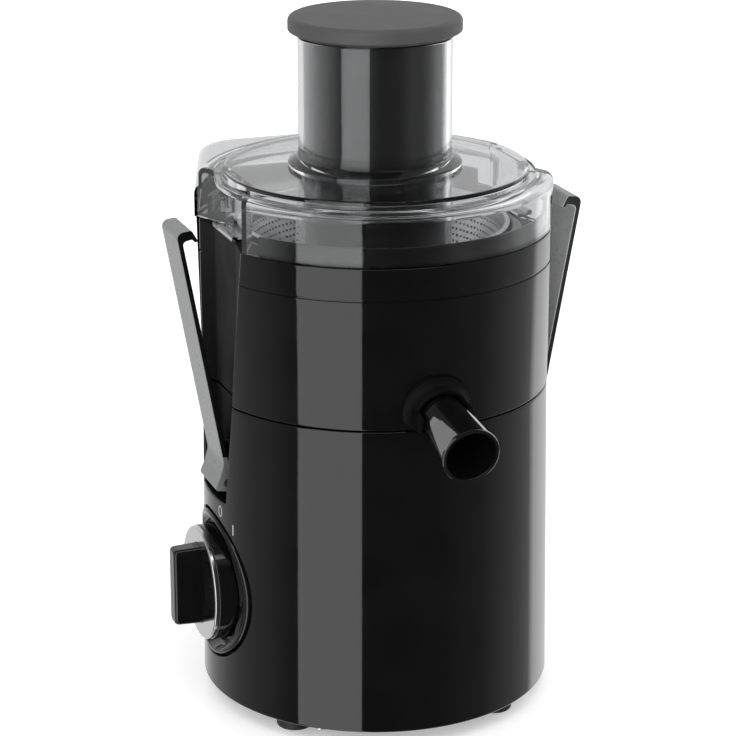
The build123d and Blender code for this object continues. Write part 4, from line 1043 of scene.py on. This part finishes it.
azs = sorted(set([a for a, _ in WALL_STOPS] + [-75.4, 75.4] + list(range(-180, 181, 5))))
els = [-80, -50, -25, 0, 20, 35, 42, 45.5, 49, 52.5, 56, 59.6, 60, 68, 68.4, 75, 82, 89.9]
RD = 3.6
verts = [around(a, RD * cos(radians(e)), 0.25 + RD * sin(radians(e))) for a in azs for e in els]
cols = [dome_level(a, e) for a in azs for e in els]
faces = []
for i in range(len(azs) - 1):
    for k in range(len(els) - 1):
        a, b = i * len(els) + k, (i + 1) * len(els) + k
        faces.append((a, b, b + 1, a + 1))
me = bpy.data.meshes.new("studio_dome")
me.from_pydata([Vector(v) for v in verts], [], faces)
at = me.attributes.new("level", "FLOAT", "POINT")
for i, c in enumerate(cols):
    at.data[i].value = c
wall = bpy.data.objects.new("studio_dome", me)
scene.collection.objects.link(wall)
m = bpy.data.materials.new("studio_dome")
m.use_nodes = True
t = m.node_tree
t.nodes.clear()
an = t.nodes.new("ShaderNodeAttribute")
an.attribute_name = "level"
e = t.nodes.new("ShaderNodeEmission")
o = t.nodes.new("ShaderNodeOutputMaterial")
t.links.new(an.outputs["Fac"], e.inputs["Strength"])
t.links.new(e.outputs["Emission"], o.inputs["Surface"])
me.materials.append(m)
wall.visible_camera = wall.visible_diffuse = wall.visible_shadow = False
floor.visible_glossy = floor.visible_transmission = False

# a faint wrap-round card that adds to the walls, for the lid and the pusher only: three clear surfaces lie one behind the other there
CARD_STOPS = [(-132, 0.0), (-120, 0.10), (-108, 0.45), (-94, 0.20), (-82, 0.12), (-70, 0.13), (-60, 0.22), (-50, 0.19), (-40, 0.10), (-20, 0.05), (0, 0.08), (5, 0.10), (9, 0.0), (48, 0.0), (52, 0.06), (60, 0.20), (70, 0.36), (82, 0.50), (94, 0.65), (108, 0.75), (124, 0.40), (138, 0.10), (144, 0.0)]
els = [(-40, 0.0), (-28, 1.0), (0, 1.0), (25, 1.0), (38, 0.0)]
verts = [around(a, 3.3 * cos(radians(e)), 0.25 + 3.3 * sin(radians(e))) for a, _ in CARD_STOPS for e, _ in els]
cols = [c * k for _, c in CARD_STOPS for _, k in els]
faces = []
for i in range(len(CARD_STOPS) - 1):
    for k in range(len(els) - 1):
        a, b = i * len(els) + k, (i + 1) * len(els) + k
        faces.append((a, b, b + 1, a + 1))
me = bpy.data.meshes.new("studio_card")
me.from_pydata([Vector(v) for v in verts], [], faces)
at = me.attributes.new("level", "FLOAT", "POINT")
for i, c in enumerate(cols):
    at.data[i].value = c
card = bpy.data.objects.new("studio_card", me)
scene.collection.objects.link(card)
m = bpy.data.materials.new("studio_card")
m.use_nodes = True
t = m.node_tree
t.nodes.clear()
an = t.nodes.new("ShaderNodeAttribute")
an.attribute_name = "level"
em = t.nodes.new("ShaderNodeEmission")
t.links.new(an.outputs["Fac"], em.inputs["Strength"])
tr = t.nodes.new("ShaderNodeBsdfTransparent")
ad = t.nodes.new("ShaderNodeAddShader")
t.links.new(em.outputs[0], ad.inputs[0])
t.links.new(tr.outputs[0], ad.inputs[1])
ou = t.nodes.new("ShaderNodeOutputMaterial")
t.links.new(ad.outputs[0], ou.inputs["Surface"])
me.materials.append(m)
card.visible_camera = card.visible_diffuse = card.visible_shadow = False
lit = bpy.data.collections.new("studio_card_lit")
for name in ("lid_shell", "pusher_cup"):
    lit.objects.link(bpy.data.objects[name])
card.light_linking.receiver_collection = lit

def kicker(name, start, direction, dist, size, radiance, piece_):
    """Small soft card lamp close to one piece: it lights that piece only and is aimed back at it."""
    d = Vector(direction).normalized()
    at_ = Vector(start) * MM + d * dist
    lamp = bpy.data.lights.new(name, "AREA")
    lamp.shape = "DISK"
    lamp.size = size
    lamp.energy = radiance * pi * pi * size * size / 4
    ob = bpy.data.objects.new(name, lamp)
    scene.collection.objects.link(ob)
    ob.location = at_
    ob.rotation_euler = (-d).to_track_quat("-Z", "Y").to_euler()
    ob.visible_camera = False
    lit = bpy.data.collections.new(name + "_lit")
    lit.objects.link(piece_)
    ob.light_linking.receiver_collection = lit
    return ob


kicker("kicker_left", (-10.1, -119, 168.6), (-0.564, 0.804, 0.188), 0.035, 0.0255, 1.6, spout)
kicker("kicker_right", (13, -112, 166.5), (0.62, 0.73, -0.28), 0.020, 0.036, 1.15, spout)

kicker("kicker_clamp", (97, 0, 215), (-27, -120, 15), 0.124, 0.080, 30.0, bpy.data.objects["clamp_right_strap"])

# ------------------------------------------------------------------ camera
cam = bpy.data.cameras.new("camera")
cam.lens = 127.76
cam.sensor_width = 36.0
cam.clip_start = 0.05
co = bpy.data.objects.new("camera", cam)
scene.collection.objects.link(co)
co.location = (-0.4232, -1.1528, 0.5665)
th = radians(18.14)
look = Vector((sin(radians(20)) * cos(th), cos(radians(20)) * cos(th), -sin(th)))
co.rotation_euler = look.to_track_quat("-Z", "Y").to_euler()
scene.camera = co
